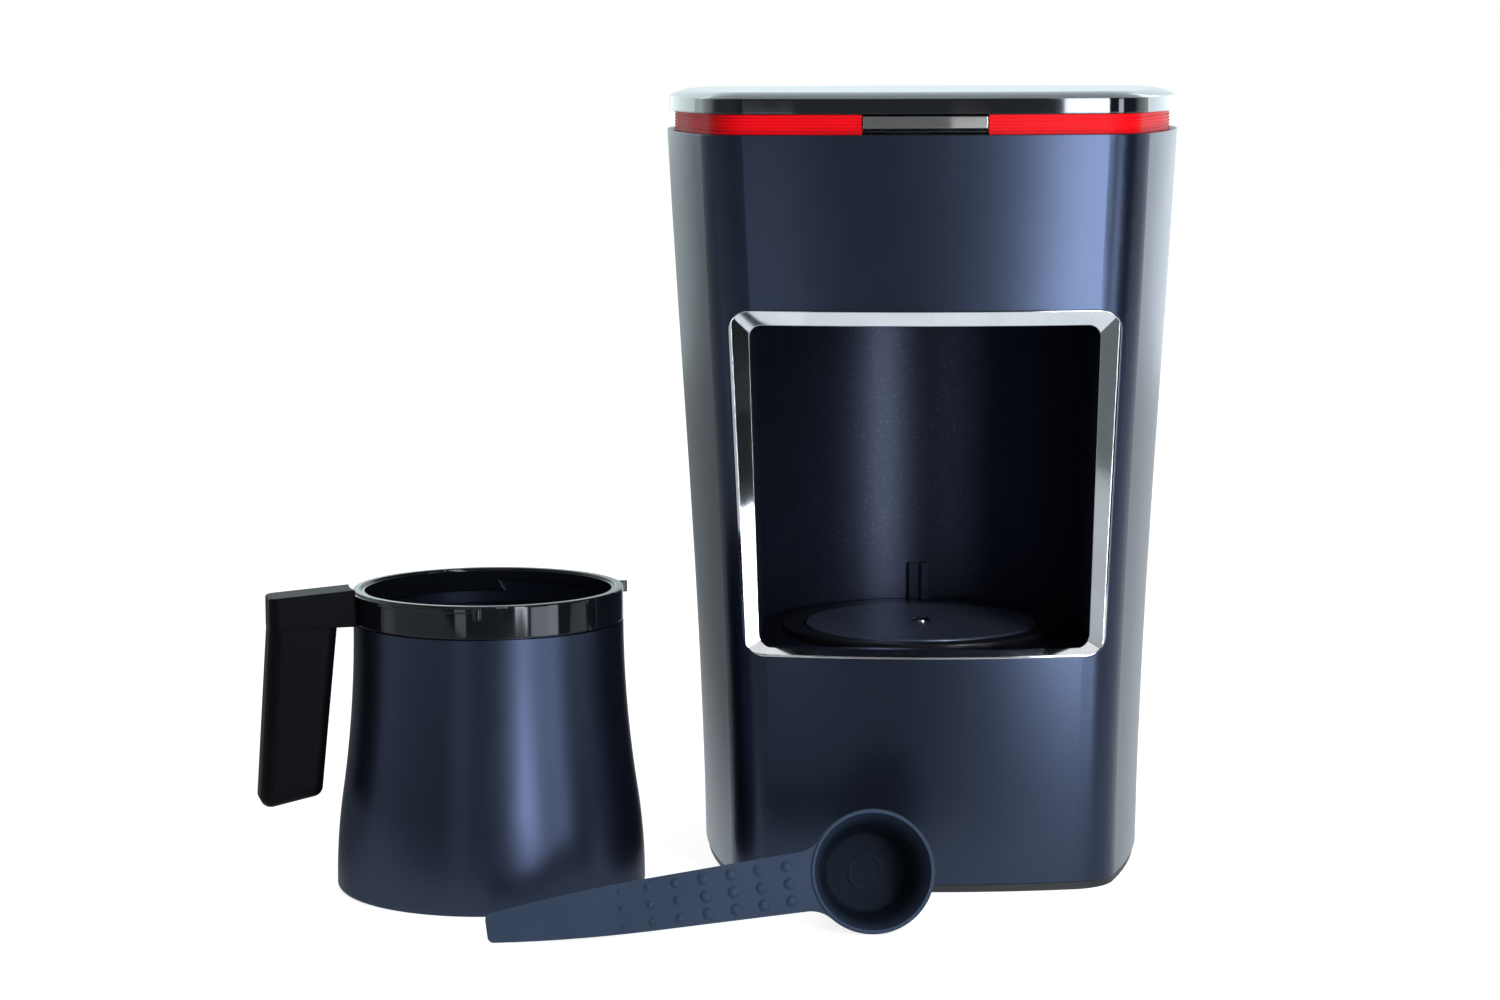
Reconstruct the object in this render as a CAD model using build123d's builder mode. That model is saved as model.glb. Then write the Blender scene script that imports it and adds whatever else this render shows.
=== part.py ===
from build123d import *
from math import atan, cos, radians, sin, sqrt
import os

# Electric Turkish coffee maker: the machine, its coffee pot and its measuring scoop.
# Millimetres. +X is to the right, +Y to the back and +Z up, and the origin is on the counter
# under the centre of the hot plate. The pot and the scoop stand where they rest on the counter.

# ------------------------------------------------------------------ body shell
body_height = 244.6  # top edge of the housing
housing_low = 2.9  # lower edge of the housing
housing_wall = 2.4
floor_half_width = 74.2  # widest half width, at the counter
top_half_width = 86.6  # widest half width, at the top edge
waist_draw = 8.5  # how strongly the lower flanks draw in between counter and top
flank_peak = 25.0  # the body is widest this far behind the plate's centre
floor_corner_tuck = 14.8  # front corner, in from the widest half width, at the counter
top_corner_tuck = 18.4  # the same at the top edge
floor_front = 73.0  # front face, ahead of the plate's centre
top_front = 73.0
floor_back = 74.0  # rear face, behind the plate's centre
top_back = 79.0
front_bow = 7.3  # how far the front bulges ahead of its corners
back_bow = 8.0
back_tuck = 4.0
front_corner_radius = 18.0
back_corner_radius = 20.0
cover_margin = 2.0  # from the rear cover's seam to the round back corners
cover_lap = 4.0  # the cover's rim reaches this far behind the housing's edge
cover_rim = 1.3

# ------------------------------------------------------------------ window and bay
window_low = 77.0  # outer outline of the window frame
window_high = 188.7
window_corner = 6.5
frame_tuck = 2.7  # the frame's outer edge, in from the point of the body's front corners
frame_side_low = 5.0  # width of the side members at the bottom
frame_side_high = 6.5  # and at the top
frame_sill = 2.6  # height of the lower member
frame_head = 4.8  # height of the upper member
frame_land = 0.7  # flat edge outside the bevel
bevel_depth = 2.4
frame_depth = 6.0  # from the body's skin to the frame's back
frame_proud = 0.4
opening_corner = 4.0
fit_gap = 0.15  # between a fixed piece and the hole it sits in
bay_margin = 0.8  # the bay's walls stand back from the frame's inner edge
bay_centre = 9.0  # axis of the bay's round back wall, behind the plate's centre
liner_wall = 2.0
bay_ceiling_level = 185.5
ceiling_thick = 2.0
lens_radius = 6.0
lens_height = 5.0
sensor_board = (26.0, 20.0)
sensor_chip = (9.0, 7.0, 3.5)
bay_rib_count = 2  # ribs low on the bay's back wall
bay_rib_pitch = 4.4
bay_rib_width = 2.6
bay_rib_height = 13.0
bay_rib_proud = 2.6

# ------------------------------------------------------------------ hot plate
plate_level = 77.8  # the surface that the pot stands on
plate_radius = 39.4
plate_thick = 1.6
plate_skirt = 3.2
plate_skirt_wall = 1.4
plate_hole_radius = 3.4
deck_level = 75.8  # floor of the bay round the plate
deck_thick = 2.4
plate_groove = 0.8  # gap between the plate and its ring
ring_lip = 3.8  # the ring laps this far over the deck
ring_drop = 0.4  # the ring's top, below the plate
ring_neck_over = 3.5  # the part that passes through the deck, outside the groove
ring_neck_wall = 2.2
ring_neck_low = 71.0
ring_ledge_width = 2.9  # the ledge that carries the plate reaches this far under it
ring_ledge_thick = 1.6
neck_gap = 0.3
element_radius = 24.0
element_tube = 3.25
element_opening = 50.0  # degrees left open at the back for the two terminals
terminal_radius = 1.6
terminal_low = 57.0
shield_radius = 31.0
shield_wall = 0.8
shield_floor = 61.0
guide_radius = 5.6
guide_wall = 0.8
guide_top = 73.5
guide_cap = 1.2
pin_radius = 3.0
pin_proud = 1.2  # how far the sensor tip stands above the plate at rest
pin_flange_radius = 4.4
pin_flange_thick = 1.4
pin_stem_radius = 2.0
pin_stem_low = 56.0
stop_gap = 0.3
running_gap = 0.05
sensor_spring_radius = 3.4
sensor_spring_wire = 0.3
sensor_spring_turns = 5
thermostat_radius = 6.0
thermostat_height = 8.0
thermostat_out = 13.6
tab_size = (0.8, 4.0, 5.0)  # the thermostat's two contact tabs
tab_pitch = 6.0
fuse_radius = 1.8
fuse_length = 12.0

# ------------------------------------------------------------------ top
tray_fit = 0.2  # tray flange inside the housing
tray_thick = 2.2
tray_dish_inset = 8.2
tray_dish_depth = 5.1  # from the flange's top down to the underside of the dish
tray_floor_thick = 2.0
tray_rim_inset = 4.5
tray_rim_wall = 2.0
band_inset = 2.6
band_wall = 1.8
band_height = 6.4
band_ribs = 5
rib_cut = 0.35  # depth and half height of the grooves between the ribs
lid_gap = 0.2
lid_inset = 0.7
lid_rim = 4.8
lid_rise = 2.1  # the lid's flat top above its rim
lid_shoulder = 9.0
lid_shell = 2.4
lid_tongue = 2.0
button_width = 39.4
button_height = 5.3
button_rise = 0.6  # the bar's lower edge, above the housing's top edge
button_inset = 1.8
button_bevel = 1.5
button_gap = 0.4
button_travel = 1.5
button_flange_over = 2.2  # the flange behind the rim, wider than the bar on each side
button_flange_thick = 2.0
button_stem = 3.5
button_stem_width = 6.0
button_stem_height = 3.2
plunger_radius = 1.5
plunger_length = 4.5
switch_gap = 0.3
switch_width = 12.0
switch_depth = 7.0
switch_height = 5.4
button_spring_spread = 14.0
button_spring_radius = 1.6
button_spring_wire = 0.25
button_spring_turns = 4
button_spring_length = 4.6
spring_post_width = 5.0
spring_post_thick = 1.5
board_depth = 70.0
board_edge = 5.0  # from a board's edge to its posts
board_thick = 1.6
board_middle = -22.5
board_post_radius = 2.5
post_gap = 0.7  # between the front posts and the corner screws
chip_size = (12.0, 12.0, 2.0)
chip_side = 18.0
buzzer_radius = 6.0
buzzer_height = 4.5
buzzer_side = 18.0
buzzer_hole = 1.2

# ------------------------------------------------------------------ base
base_low = 0.25  # the base plate's rim stands this far off the counter, on the feet
base_high = 2.7
base_inset = 0.7
base_slab = 1.6
base_rim_wall = 3.0
base_lip_height = 4.2
base_lip_wall = 1.5
foot_radius = 7.0
foot_chamfer = 0.4
air_slot_count = 7  # under the power board
air_slot_pitch = 9.0
air_slot_width = 3.0
air_slot_length = 36.0
boss_radius = 4.5
boss_height = 20.0
low_boss_inset = 13.0  # corner bosses, in from the two walls of their corner
high_boss_inset = 16.5
front_boss_step = (0.72, 0.86)  # moves that keep one distance from both walls of a corner
back_boss_step = (0.86, 0.83)
rib_wall = 2.0
rib_reach = 20.0
pad_radius = 5.0
pad_high = 8.2
screw_radius = 1.4
screw_head_radius = 2.8
screw_head_height = 1.8
screw_length = 12.0
clearance_radius = 1.7
head_pocket_radius = 3.1
head_pocket_depth = 2.4
leg_radius = 4.0
leg_front = (45.0, -44.0)
leg_back = (38.0, 40.0)
power_board_level = 10.0
power_board_depth = 52.0
power_board_middle = -3.0
relay_size = (22.0, 17.0, 16.0)
relay_side = 16.0
capacitor_radius = 6.0
capacitor_height = 18.0
capacitor_side = 14.0
terminal_size = (26.0, 12.0, 12.0)
terminal_middle = 44.0
terminal_pitch = 8.0
terminal_hole = 2.4
terminal_hole_depth = 8.0
plug_size = (10.0, 8.0, 5.0)  # wire connectors on the two boards
harness_radius = 1.8
harness_gap = 3.0  # between the wires and the bay's round wall
harness_turn = 45.0  # degrees round that wall, from its left side to its back
harness_bend = 10.0
gland_level = 17.0
gland_bore = 3.6
gland_radius = 6.8
gland_flange_radius = 9.2
gland_flange = 2.0
gland_depth = 10.0
vent_count = 9
vent_pitch = 6.5
vent_width = 2.6
vent_low = 34.0
vent_high = 62.0

# ------------------------------------------------------------------ coffee pot
pot_x = -141.7
pot_y = -58.6
handle_angle = 196.0  # direction of the handle seen from above
pot_base_radius = 50.4
pot_base_round = 2.0
pot_turn_radius = 48.4  # where the flank's outward curve becomes an inward one
pot_turn_level = 30.0
pot_shoulder_radius = 43.9
pot_shoulder_level = 87.6
pot_wall = 1.0
pot_floor = 1.4
pot_neck_step = 1.3
pot_neck_level = 95.6
collar_groove = 0.5  # shadow gap between the pot's shoulder and the collar
collar_top = 98.4
collar_lip = 1.6
collar_lip_reach = 2.8
skirt_wall = 1.0
skirt_tall = 7.0
skirt_short = 3.4
skirt_ramp = 4.0
skirt_turn = 14.5  # the ramp, beyond the pot's axis from the handle
ledge_proud = 1.0
ledge_height = 1.4
ledge_drop = 0.6
ledge_sweep = 75.0  # degrees from the handle to the front nub
nub_proud = (2.0, 3.3)  # the front nub and the far one
nub_width = 2.4
nub_height = 3.6
far_nub_turn = 185.5  # degrees from the handle to the far nub
arm_height = 10.4
arm_rise = 1.6  # the arm's top, above the collar where it meets it
arm_fall = 0.5  # and below the collar's top at its end
arm_width = 15.0
grip_gap = 6.2  # finger gap between the collar and the grip, at the top
grip_top_out = 72.1
grip_low_in = 55.9
grip_low_out = 76.3
grip_low = 29.0
grip_low_slant = 4.2  # the bottom rises this much towards the pot
grip_round = 4.0
grip_corner = 3.5
handle_screw_length = 46.0

# ------------------------------------------------------------------ measuring scoop
scoop_x = -16.6
scoop_y = -125.4
scoop_turn = 7.5  # degrees, its handle comes towards the front
scoop_slope = 7.1  # degrees, its handle falls to the counter
scoop_rim_radius = 19.35
scoop_wall = 1.2
scoop_depth = 24.6
scoop_floor_radius = 12.4
scoop_plate = 2.4
scoop_reach = 120.5  # from the bowl's centre to the tip
scoop_tip_half = 4.3
scoop_mid_reach = 97.0
scoop_mid_half = 6.7
scoop_wide_reach = 70.0
scoop_wide_half = 8.1
scoop_root_half = 9.5
scoop_fillet = 10.0
scoop_lip = 0.5  # raised edge round the bowl's mouth
scoop_foot_ring = 5.7
bump_columns = 7
bump_rows = 3
bump_column_pitch = 8.7
bump_row_pitch = 5.4
bump_first = 26.2  # nearest column, from the bowl's centre
bump_radius = 1.9
bump_fade = 0.17
bump_height = 0.9

# ------------------------------------------------------------------ worked-out sizes
window_mid = (window_low + window_high) / 2
skin_levels = [-4.0, body_height * 0.25, body_height * 0.5, body_height * 0.75, body_height + 5.0]
deck_under = deck_level - deck_thick
ring_top = plate_level - ring_drop
ring_neck_radius = plate_radius + plate_groove + ring_neck_over
ring_radius = ring_neck_radius + ring_lip
ring_ledge = plate_radius - ring_ledge_width
plate_under = plate_level - plate_thick
skirt_under = plate_level - plate_skirt
shield_top = ring_neck_low
dish_low = body_height - tray_dish_depth
dish_floor = dish_low + tray_floor_thick
button_low = body_height + button_rise
lid_low = body_height + band_height + lid_gap
lid_rim_top = lid_low + lid_rim
lid_top = lid_rim_top + lid_rise
button_mid = button_low + button_height / 2
board_top = button_mid - switch_height / 2
flange_back = -top_front + tray_rim_inset + tray_rim_wall + stop_gap + button_flange_thick
stem_back = flange_back + button_stem
switch_front = stem_back + button_travel + switch_gap
pin_flange_top = guide_top - guide_cap - stop_gap
pin_flange_low = pin_flange_top - pin_flange_thick
handle_x, handle_y = cos(radians(handle_angle)), sin(radians(handle_angle))


def body_sizes(level):
    """Half width, front corner half width, front and back of the body's plan at a height."""
    rise = level / body_height
    waist = waist_draw * rise * (1 - rise) ** 2
    half = floor_half_width + (top_half_width - floor_half_width) * rise - waist
    corner = half - floor_corner_tuck - (top_corner_tuck - floor_corner_tuck) * rise
    front = -floor_front - (top_front - floor_front) * rise
    back = floor_back + (top_back - floor_back) * rise
    return half, corner, front, back


def body_plan(level, inset=0.0, at=None):
    """Face of the body's plan at a height, drawn in by inset, and laid at another height if asked."""
    half, corner, front, back = body_sizes(level)
    back_corner = half - back_tuck
    with BuildSketch(Plane.XY.offset(level if at is None else at)) as plan:
        with BuildLine():
            front_arc = ThreePointArc((-corner, front + front_bow), (0, front), (corner, front + front_bow))
            right = ThreePointArc(front_arc @ 1, (half, flank_peak), (back_corner, back - back_bow))
            back_arc = ThreePointArc(right @ 1, (0, back), (-back_corner, back - back_bow))
            ThreePointArc(back_arc @ 1, (-half, flank_peak), front_arc @ 0)
        make_face()
        if inset:
            offset(amount=-inset, kind=Kind.INTERSECTION)
        fillet(plan.vertices().group_by(Axis.Y)[0], max(front_corner_radius - inset, 1.0))
        fillet(plan.vertices().group_by(Axis.Y)[-1], max(back_corner_radius - inset, 1.0))
    return plan.sketch


def skin(inset=0.0):
    """Sections of the whole tapered body, for a loft."""
    return [body_plan(level, inset) for level in skin_levels]


def corner_spots(level, inset):
    """The four points that stand one distance from both walls of the body's corners."""
    half, corner, front, back = body_sizes(level)
    ahead = (corner - front_boss_step[0] * inset, front + front_bow + front_boss_step[1] * inset)
    behind = (half - back_tuck - back_boss_step[0] * inset, back - back_bow - back_boss_step[1] * inset)
    return [(side * x, y) for x, y in (ahead, behind) for side in (-1, 1)]


def frame_half(level):
    """Half width of the window frame's outer outline."""
    return body_sizes(level)[1] - frame_tuck


def opening_half(level):
    """Half width of the clear opening inside the frame, on the straight line between its ends."""
    low, high = window_low + frame_sill, window_high - frame_head
    low_half, high_half = frame_half(low) - frame_side_low, frame_half(high) - frame_side_high
    return low_half + (high_half - low_half) * (level - low) / (high - low)


def front_outline(low, high, low_half, high_half, corner, distance, grow=0.0):
    """Rounded trapezoid seen from the front, on a plane this far ahead of the plate's centre."""
    with BuildSketch(Plane.XZ.offset(distance)) as outline:
        with BuildLine():
            Polyline((-low_half, low), (low_half, low), (high_half, high), (-high_half, high), close=True)
        make_face()
        fillet(outline.vertices(), corner)
        if grow:
            offset(amount=grow)
    return outline.sketch


def window_outline(distance, grow=0.0):
    """Outer outline of the window frame."""
    halves = frame_half(window_low), frame_half(window_high)
    return front_outline(window_low, window_high, *halves, window_corner, distance, grow)


def opening_outline(distance):
    """Clear opening inside the window frame."""
    low, high = window_low + frame_sill, window_high - frame_head
    return front_outline(low, high, opening_half(low), opening_half(high), opening_corner, distance)


def bay_plan(level, grow=0.0):
    """Plan of the bay at a height: straight sides that run out at the front, and a round back."""
    half = opening_half(level) + bay_margin + grow
    mouth = -top_front - frame_depth
    with BuildSketch(Plane.XY.offset(level)) as plan:
        with BuildLine():
            Polyline((-half, bay_centre), (-half, mouth), (half, mouth), (half, bay_centre))
            ThreePointArc((half, bay_centre), (0, bay_centre + half), (-half, bay_centre))
        make_face()
    return plan.sketch


def cover_outline(low, high, grow=0.0):
    """Outline of the rear cover, on a plane inside the body; it is extruded towards the back."""
    low_half, high_half = (body_sizes(level)[0] - back_tuck - back_corner_radius - cover_margin
                           for level in (low, high))
    return front_outline(low, high, low_half, high_half, fit_gap, -floor_back / 2, grow)


def spring(radius, wire, turns, start, length, direction):
    """A coil spring of round wire that starts at a point and runs along a direction."""
    pitch = (length - 2 * wire) / turns
    way = Vector(*direction)
    foot = Vector(*start) + way * wire
    with BuildPart() as coil:
        with BuildLine():
            path = Helix(pitch, length - 2 * wire, radius, center=foot, direction=way)
        with BuildSketch(Plane(path @ 0, z_dir=path % 0)):
            RegularPolygon(wire, 8)
        sweep(is_frenet=True)
    return coil.part


def pan_screws(spots, head_under, length):
    """Screws that point up, with the shoulders of their heads at the given level."""
    with BuildPart() as screws:
        with Locations(*[(x, y, head_under) for x, y in spots]):
            Cylinder(screw_head_radius, screw_head_height, align=(Align.CENTER, Align.CENTER, Align.MAX))
            Cylinder(screw_radius, length, align=(Align.CENTER, Align.CENTER, Align.MIN))
    return screws


up = (Align.CENTER, Align.CENTER, Align.MIN)
down = (Align.CENTER, Align.CENTER, Align.MAX)

low_spots = corner_spots(pad_high, low_boss_inset)
high_spots = corner_spots(dish_low, high_boss_inset)
leg_spots = [(side * x, y) for x, y in (leg_front, leg_back) for side in (-1, 1)]
post_half = high_spots[1][0] - screw_head_radius - board_post_radius - post_gap
board_width = 2 * (post_half + board_edge)
harness_out = opening_half(bay_ceiling_level) + bay_margin + liner_wall + harness_gap + harness_radius
harness_side = harness_out * cos(radians(harness_turn))
harness_back = bay_centre + harness_out * sin(radians(harness_turn))

# the front's bow at the window, and the back of the frame's side members
mid_half, mid_corner, mid_front, mid_back = body_sizes(window_mid)
bow_radius = (mid_corner**2 + front_bow**2) / (2 * front_bow)
bow_axis = Axis((0, mid_front + bow_radius, 0), (0, 0, 1))
corner_line = mid_front + front_bow
frame_end = -corner_line - frame_depth - 1

# ================================================================== housing
# Hollow of the housing, less the screw bosses and the ribs that tie them to the corners.
with BuildPart() as hollow:
    loft(skin(housing_wall))
    for spots, level in ((low_spots, pad_high), (high_spots, dish_low - boss_height)):
        for x, y in spots:
            with Locations((x, y, level)):
                Cylinder(boss_radius, boss_height, align=up, mode=Mode.SUBTRACT)
            outward = Plane((x, y, level), x_dir=(x, 1.1 * y, 0), z_dir=(0, 0, 1))
            with BuildSketch(outward):
                with Locations((rib_reach / 2, 0)):
                    Rectangle(rib_reach, rib_wall)
            extrude(amount=boss_height, mode=Mode.SUBTRACT)

with BuildPart() as outer_housing:
    loft(skin())
    add(hollow.part, mode=Mode.SUBTRACT)
    split(bisect_by=Plane.XY.offset(housing_low), keep=Keep.TOP)
    split(bisect_by=Plane.XY.offset(body_height), keep=Keep.BOTTOM)
    extrude(window_outline(frame_end - fit_gap, fit_gap), amount=top_front, mode=Mode.SUBTRACT)
    extrude(cover_outline(-floor_back, body_height + floor_back, fit_gap), amount=-floor_back, mode=Mode.SUBTRACT)
    for spots, level, depth in ((low_spots, pad_high, screw_length), (high_spots, dish_low, -screw_length)):
        with Locations(*[(x, y, level) for x, y in spots]):
            Cylinder(screw_radius, abs(depth), align=up if depth > 0 else down, mode=Mode.SUBTRACT)

# The rear cover fills the housing's open back, and its rim laps behind the housing's edges.
with BuildPart() as rear_cover:
    loft(skin())
    loft(skin(housing_wall), mode=Mode.SUBTRACT)
    extrude(cover_outline(-floor_back, body_height + floor_back), amount=-floor_back, mode=Mode.INTERSECT)
    split(bisect_by=Plane.XY.offset(housing_low), keep=Keep.TOP)
    split(bisect_by=Plane.XY.offset(body_height), keep=Keep.BOTTOM)
    with BuildPart(mode=Mode.PRIVATE) as cover_edge:
        rim_low = base_high + base_lip_height + fit_gap
        rim_high = body_height - tray_thick - fit_gap
        loft(skin(housing_wall))
        loft(skin(housing_wall + fit_gap + cover_rim), mode=Mode.SUBTRACT)
        extrude(cover_outline(rim_low, rim_high, cover_lap), amount=-floor_back, mode=Mode.INTERSECT)
        extrude(cover_outline(rim_low + 2 * cover_lap, rim_high - 2 * cover_lap, -cover_lap), amount=-floor_back,
                mode=Mode.SUBTRACT)
        split(bisect_by=Plane.XY.offset(rim_low), keep=Keep.TOP)
        split(bisect_by=Plane.XY.offset(rim_high), keep=Keep.BOTTOM)
    add(cover_edge.part)
    # the rim stands off the housing's inner face by the fit gap, beyond the seam
    with BuildPart(mode=Mode.PRIVATE) as housing_room:
        loft(skin(housing_wall - fit_gap))
        loft(skin(housing_wall + fit_gap), mode=Mode.SUBTRACT)
        extrude(cover_outline(-floor_back, body_height + floor_back), amount=-floor_back, mode=Mode.SUBTRACT)
    add(housing_room.part, mode=Mode.SUBTRACT)
    # cooling slots, and the cord's hole
    with BuildSketch(Plane.XZ.offset(-floor_back / 2)):
        with GridLocations(vent_pitch, 0, vent_count, 1):
            with Locations((0, (vent_low + vent_high) / 2)):
                SlotOverall(vent_high - vent_low, vent_width, rotation=90)
        with Locations((0, gland_level)):
            Circle(gland_radius + fit_gap)
    extrude(amount=-floor_back, mode=Mode.SUBTRACT)

# ================================================================== window frame
# Cutter for the bevel: top and bottom follow the bow of the front, the sides are flat.


def bevel_half(level, y):
    """Half width of the bevel's side planes at a height and depth."""
    outer = frame_half(level) - frame_land
    return outer + (opening_half(level) - outer) * (y - corner_line) / bevel_depth


with BuildPart() as bevel:
    with BuildSketch(Plane.YZ) as funnel:
        with BuildLine():
            steep_sill = (frame_sill - frame_land) / bevel_depth
            steep_head = (frame_head - frame_land) / bevel_depth
            ahead, behind = mid_front - frame_depth, mid_front + 2 * frame_depth
            Polyline(
                (ahead, window_low + frame_land - steep_sill * frame_depth),
                (behind, window_low + frame_land + steep_sill * 2 * frame_depth),
                (behind, window_high - frame_land - steep_head * 2 * frame_depth),
                (ahead, window_high - frame_land + steep_head * frame_depth),
                close=True,
            )
        make_face()
    revolve(axis=bow_axis)
    wedge = []
    for y in (corner_line - 3 * frame_depth, corner_line + 2 * frame_depth):
        low, high = window_low - 20, window_high + 20
        with BuildSketch(Plane.XZ.offset(-y)) as side_planes:
            with BuildLine():
                Polyline(
                    (-bevel_half(low, y), low),
                    (bevel_half(low, y), low),
                    (bevel_half(high, y), high),
                    (-bevel_half(high, y), high),
                    close=True,
                )
            make_face()
        wedge.append(side_planes.sketch)
    loft(wedge, ruled=True, mode=Mode.INTERSECT)

with BuildPart() as window_frame:
    loft(skin(-frame_proud))
    loft(skin(frame_depth), mode=Mode.SUBTRACT)
    extrude(window_outline(frame_end), amount=top_front, mode=Mode.INTERSECT)
    extrude(opening_outline(0), amount=2 * top_front, mode=Mode.SUBTRACT)
    add(bevel.part, mode=Mode.SUBTRACT)

# ================================================================== bay
with BuildPart() as bay_wall:
    loft([bay_plan(deck_level, liner_wall), bay_plan(bay_ceiling_level, liner_wall)])
    loft([bay_plan(deck_level), bay_plan(bay_ceiling_level)], mode=Mode.SUBTRACT)
    loft(skin(frame_depth), mode=Mode.INTERSECT)
    wall_back = bay_centre + opening_half(deck_level) + bay_margin
    with Locations((0, wall_back, deck_level)):
        with GridLocations(bay_rib_pitch, 0, bay_rib_count, 1):
            Box(bay_rib_width, 2 * bay_rib_proud, bay_rib_height, align=up)

with BuildPart() as bay_floor:
    loft([bay_plan(deck_under, liner_wall), bay_plan(deck_level, liner_wall)])
    loft(skin(frame_depth), mode=Mode.INTERSECT)
    with Locations((0, 0, deck_level)):
        Cylinder(ring_neck_radius + neck_gap, 2 * deck_thick, mode=Mode.SUBTRACT)
    with Locations(*[(x, y, pad_high) for x, y in leg_spots]):
        Cylinder(leg_radius, deck_under - pad_high, align=up)
        Cylinder(screw_radius, screw_length, align=up, mode=Mode.SUBTRACT)

with BuildPart() as bay_ceiling:
    loft([bay_plan(bay_ceiling_level, liner_wall), bay_plan(bay_ceiling_level + ceiling_thick, liner_wall)])
    loft(skin(frame_depth), mode=Mode.INTERSECT)
    with Locations((0, 0, bay_ceiling_level)):
        Cylinder(lens_radius + liner_wall, lens_height - 1, align=up)
        Cylinder(lens_radius, lens_height, align=up, mode=Mode.SUBTRACT)
    # columns that meet the underside of the top frame
    with Locations(*[(x, y, bay_ceiling_level + ceiling_thick) for x, y in leg_spots]):
        Cylinder(leg_radius, dish_low - bay_ceiling_level - ceiling_thick, align=up)

with BuildPart() as foam_sensor_lens:
    with Locations((0, 0, bay_ceiling_level)):
        Cylinder(lens_radius, lens_height - 1, align=up)
    fillet(foam_sensor_lens.edges().group_by(Axis.Z)[0], 1.0)

with BuildPart() as foam_sensor:
    with Locations((0, 0, bay_ceiling_level + lens_height - 1)):
        Box(*sensor_board, board_thick, align=up)
    with Locations((0, 0, bay_ceiling_level + lens_height - 1 + board_thick)):
        Box(*sensor_chip, align=up)

# ================================================================== hot plate
with BuildPart() as plate_ring:
    with BuildSketch(Plane.XZ):
        with BuildLine():
            Polyline(
                (ring_ledge, skirt_under - ring_ledge_thick),
                (ring_ledge, skirt_under),
                (plate_radius + plate_groove, skirt_under),
                (plate_radius + plate_groove, ring_top),
                (ring_radius, ring_top),
                (ring_radius, deck_level),
                (ring_neck_radius, deck_level),
                (ring_neck_radius, ring_neck_low),
                (ring_neck_radius - ring_neck_wall, ring_neck_low),
                (ring_neck_radius - ring_neck_wall, skirt_under - ring_ledge_thick),
                close=True,
            )
        make_face()
    revolve(axis=Axis.Z)
    fillet(plate_ring.edges().group_by(Axis.Z)[-1], 0.5)

with BuildPart() as hot_plate:
    with Locations((0, 0, plate_level)):
        Cylinder(plate_radius, plate_skirt, align=down)
        fillet(hot_plate.edges().group_by(Axis.Z)[-1], 0.8)
        Cylinder(plate_hole_radius, plate_skirt, align=down, mode=Mode.SUBTRACT)
    with Locations((0, 0, plate_under)):
        Cylinder(plate_radius - plate_skirt_wall, plate_skirt, align=down, mode=Mode.SUBTRACT)

with BuildPart() as heating_element:
    element_start = 90 + element_opening / 2
    around = (cos(radians(element_start)), sin(radians(element_start)), 0)
    element_level = plate_under - element_tube
    with BuildSketch(Plane((0, 0, element_level), x_dir=around, z_dir=(around[1], -around[0], 0))):
        with Locations((element_radius, 0)):
            Circle(element_tube)
    revolve(axis=Axis.Z, revolution_arc=element_opening - 360)
    # a terminal goes down from each end through the heat shield
    for side in (-1, 1):
        with Locations((side * around[0] * element_radius, around[1] * element_radius, element_level)):
            Sphere(element_tube)
            Cylinder(terminal_radius, element_level - terminal_low, align=down)

with BuildPart() as heat_shield:
    with BuildSketch(Plane.XZ):
        with BuildLine():
            Polyline(
                (pin_stem_radius + running_gap, shield_floor),
                (shield_radius, shield_floor),
                (shield_radius, shield_top - shield_wall),
                (ring_neck_radius, shield_top - shield_wall),
                (ring_neck_radius, shield_top),
                (shield_radius - shield_wall, shield_top),
                (shield_radius - shield_wall, shield_floor + shield_wall),
                (pin_stem_radius + running_gap, shield_floor + shield_wall),
                close=True,
            )
        make_face()
    revolve(axis=Axis.Z)
    for side in (-1, 1):
        with Locations((side * around[0] * element_radius, around[1] * element_radius, shield_floor)):
            Cylinder(2 * terminal_radius, 3 * shield_wall, mode=Mode.SUBTRACT)

with BuildPart() as sensor_guide:
    with Locations((0, 0, shield_floor + shield_wall)):
        Cylinder(guide_radius, guide_top - shield_floor - shield_wall, align=up)
        Cylinder(guide_radius - guide_wall, guide_top - guide_cap - shield_floor - shield_wall,
                 align=up, mode=Mode.SUBTRACT)
    with Locations((0, 0, guide_top)):
        Cylinder(pin_radius + running_gap, 3 * guide_cap, mode=Mode.SUBTRACT)

with BuildPart() as sensor_pin:
    with Locations((0, 0, plate_level + pin_proud)):
        Cylinder(pin_radius, plate_level + pin_proud - pin_flange_low, align=down)
    fillet(sensor_pin.edges().group_by(Axis.Z)[-1], 1.2)
    with Locations((0, 0, pin_flange_low)):
        Cylinder(pin_flange_radius, pin_flange_thick, align=up)
        Cylinder(pin_stem_radius, pin_flange_low - pin_stem_low, align=down)

with BuildPart() as sensor_spring:
    add(spring(sensor_spring_radius, sensor_spring_wire, sensor_spring_turns,
               (0, 0, shield_floor + shield_wall), pin_flange_low - shield_floor - shield_wall, (0, 0, 1)))

with BuildPart() as thermostat:
    with Locations((-thermostat_out, 0, plate_under)):
        Cylinder(thermostat_radius, thermostat_height, align=down)
    with Locations((-thermostat_out, 0, plate_under - thermostat_height)):
        with GridLocations(tab_pitch, 0, 2, 1):
            Box(*tab_size, align=down)

with BuildPart() as thermal_fuse:
    with Locations(Location((thermostat_out, 0, plate_under - fuse_radius), (90, 0, 0))):
        Cylinder(fuse_radius, fuse_length)

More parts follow.
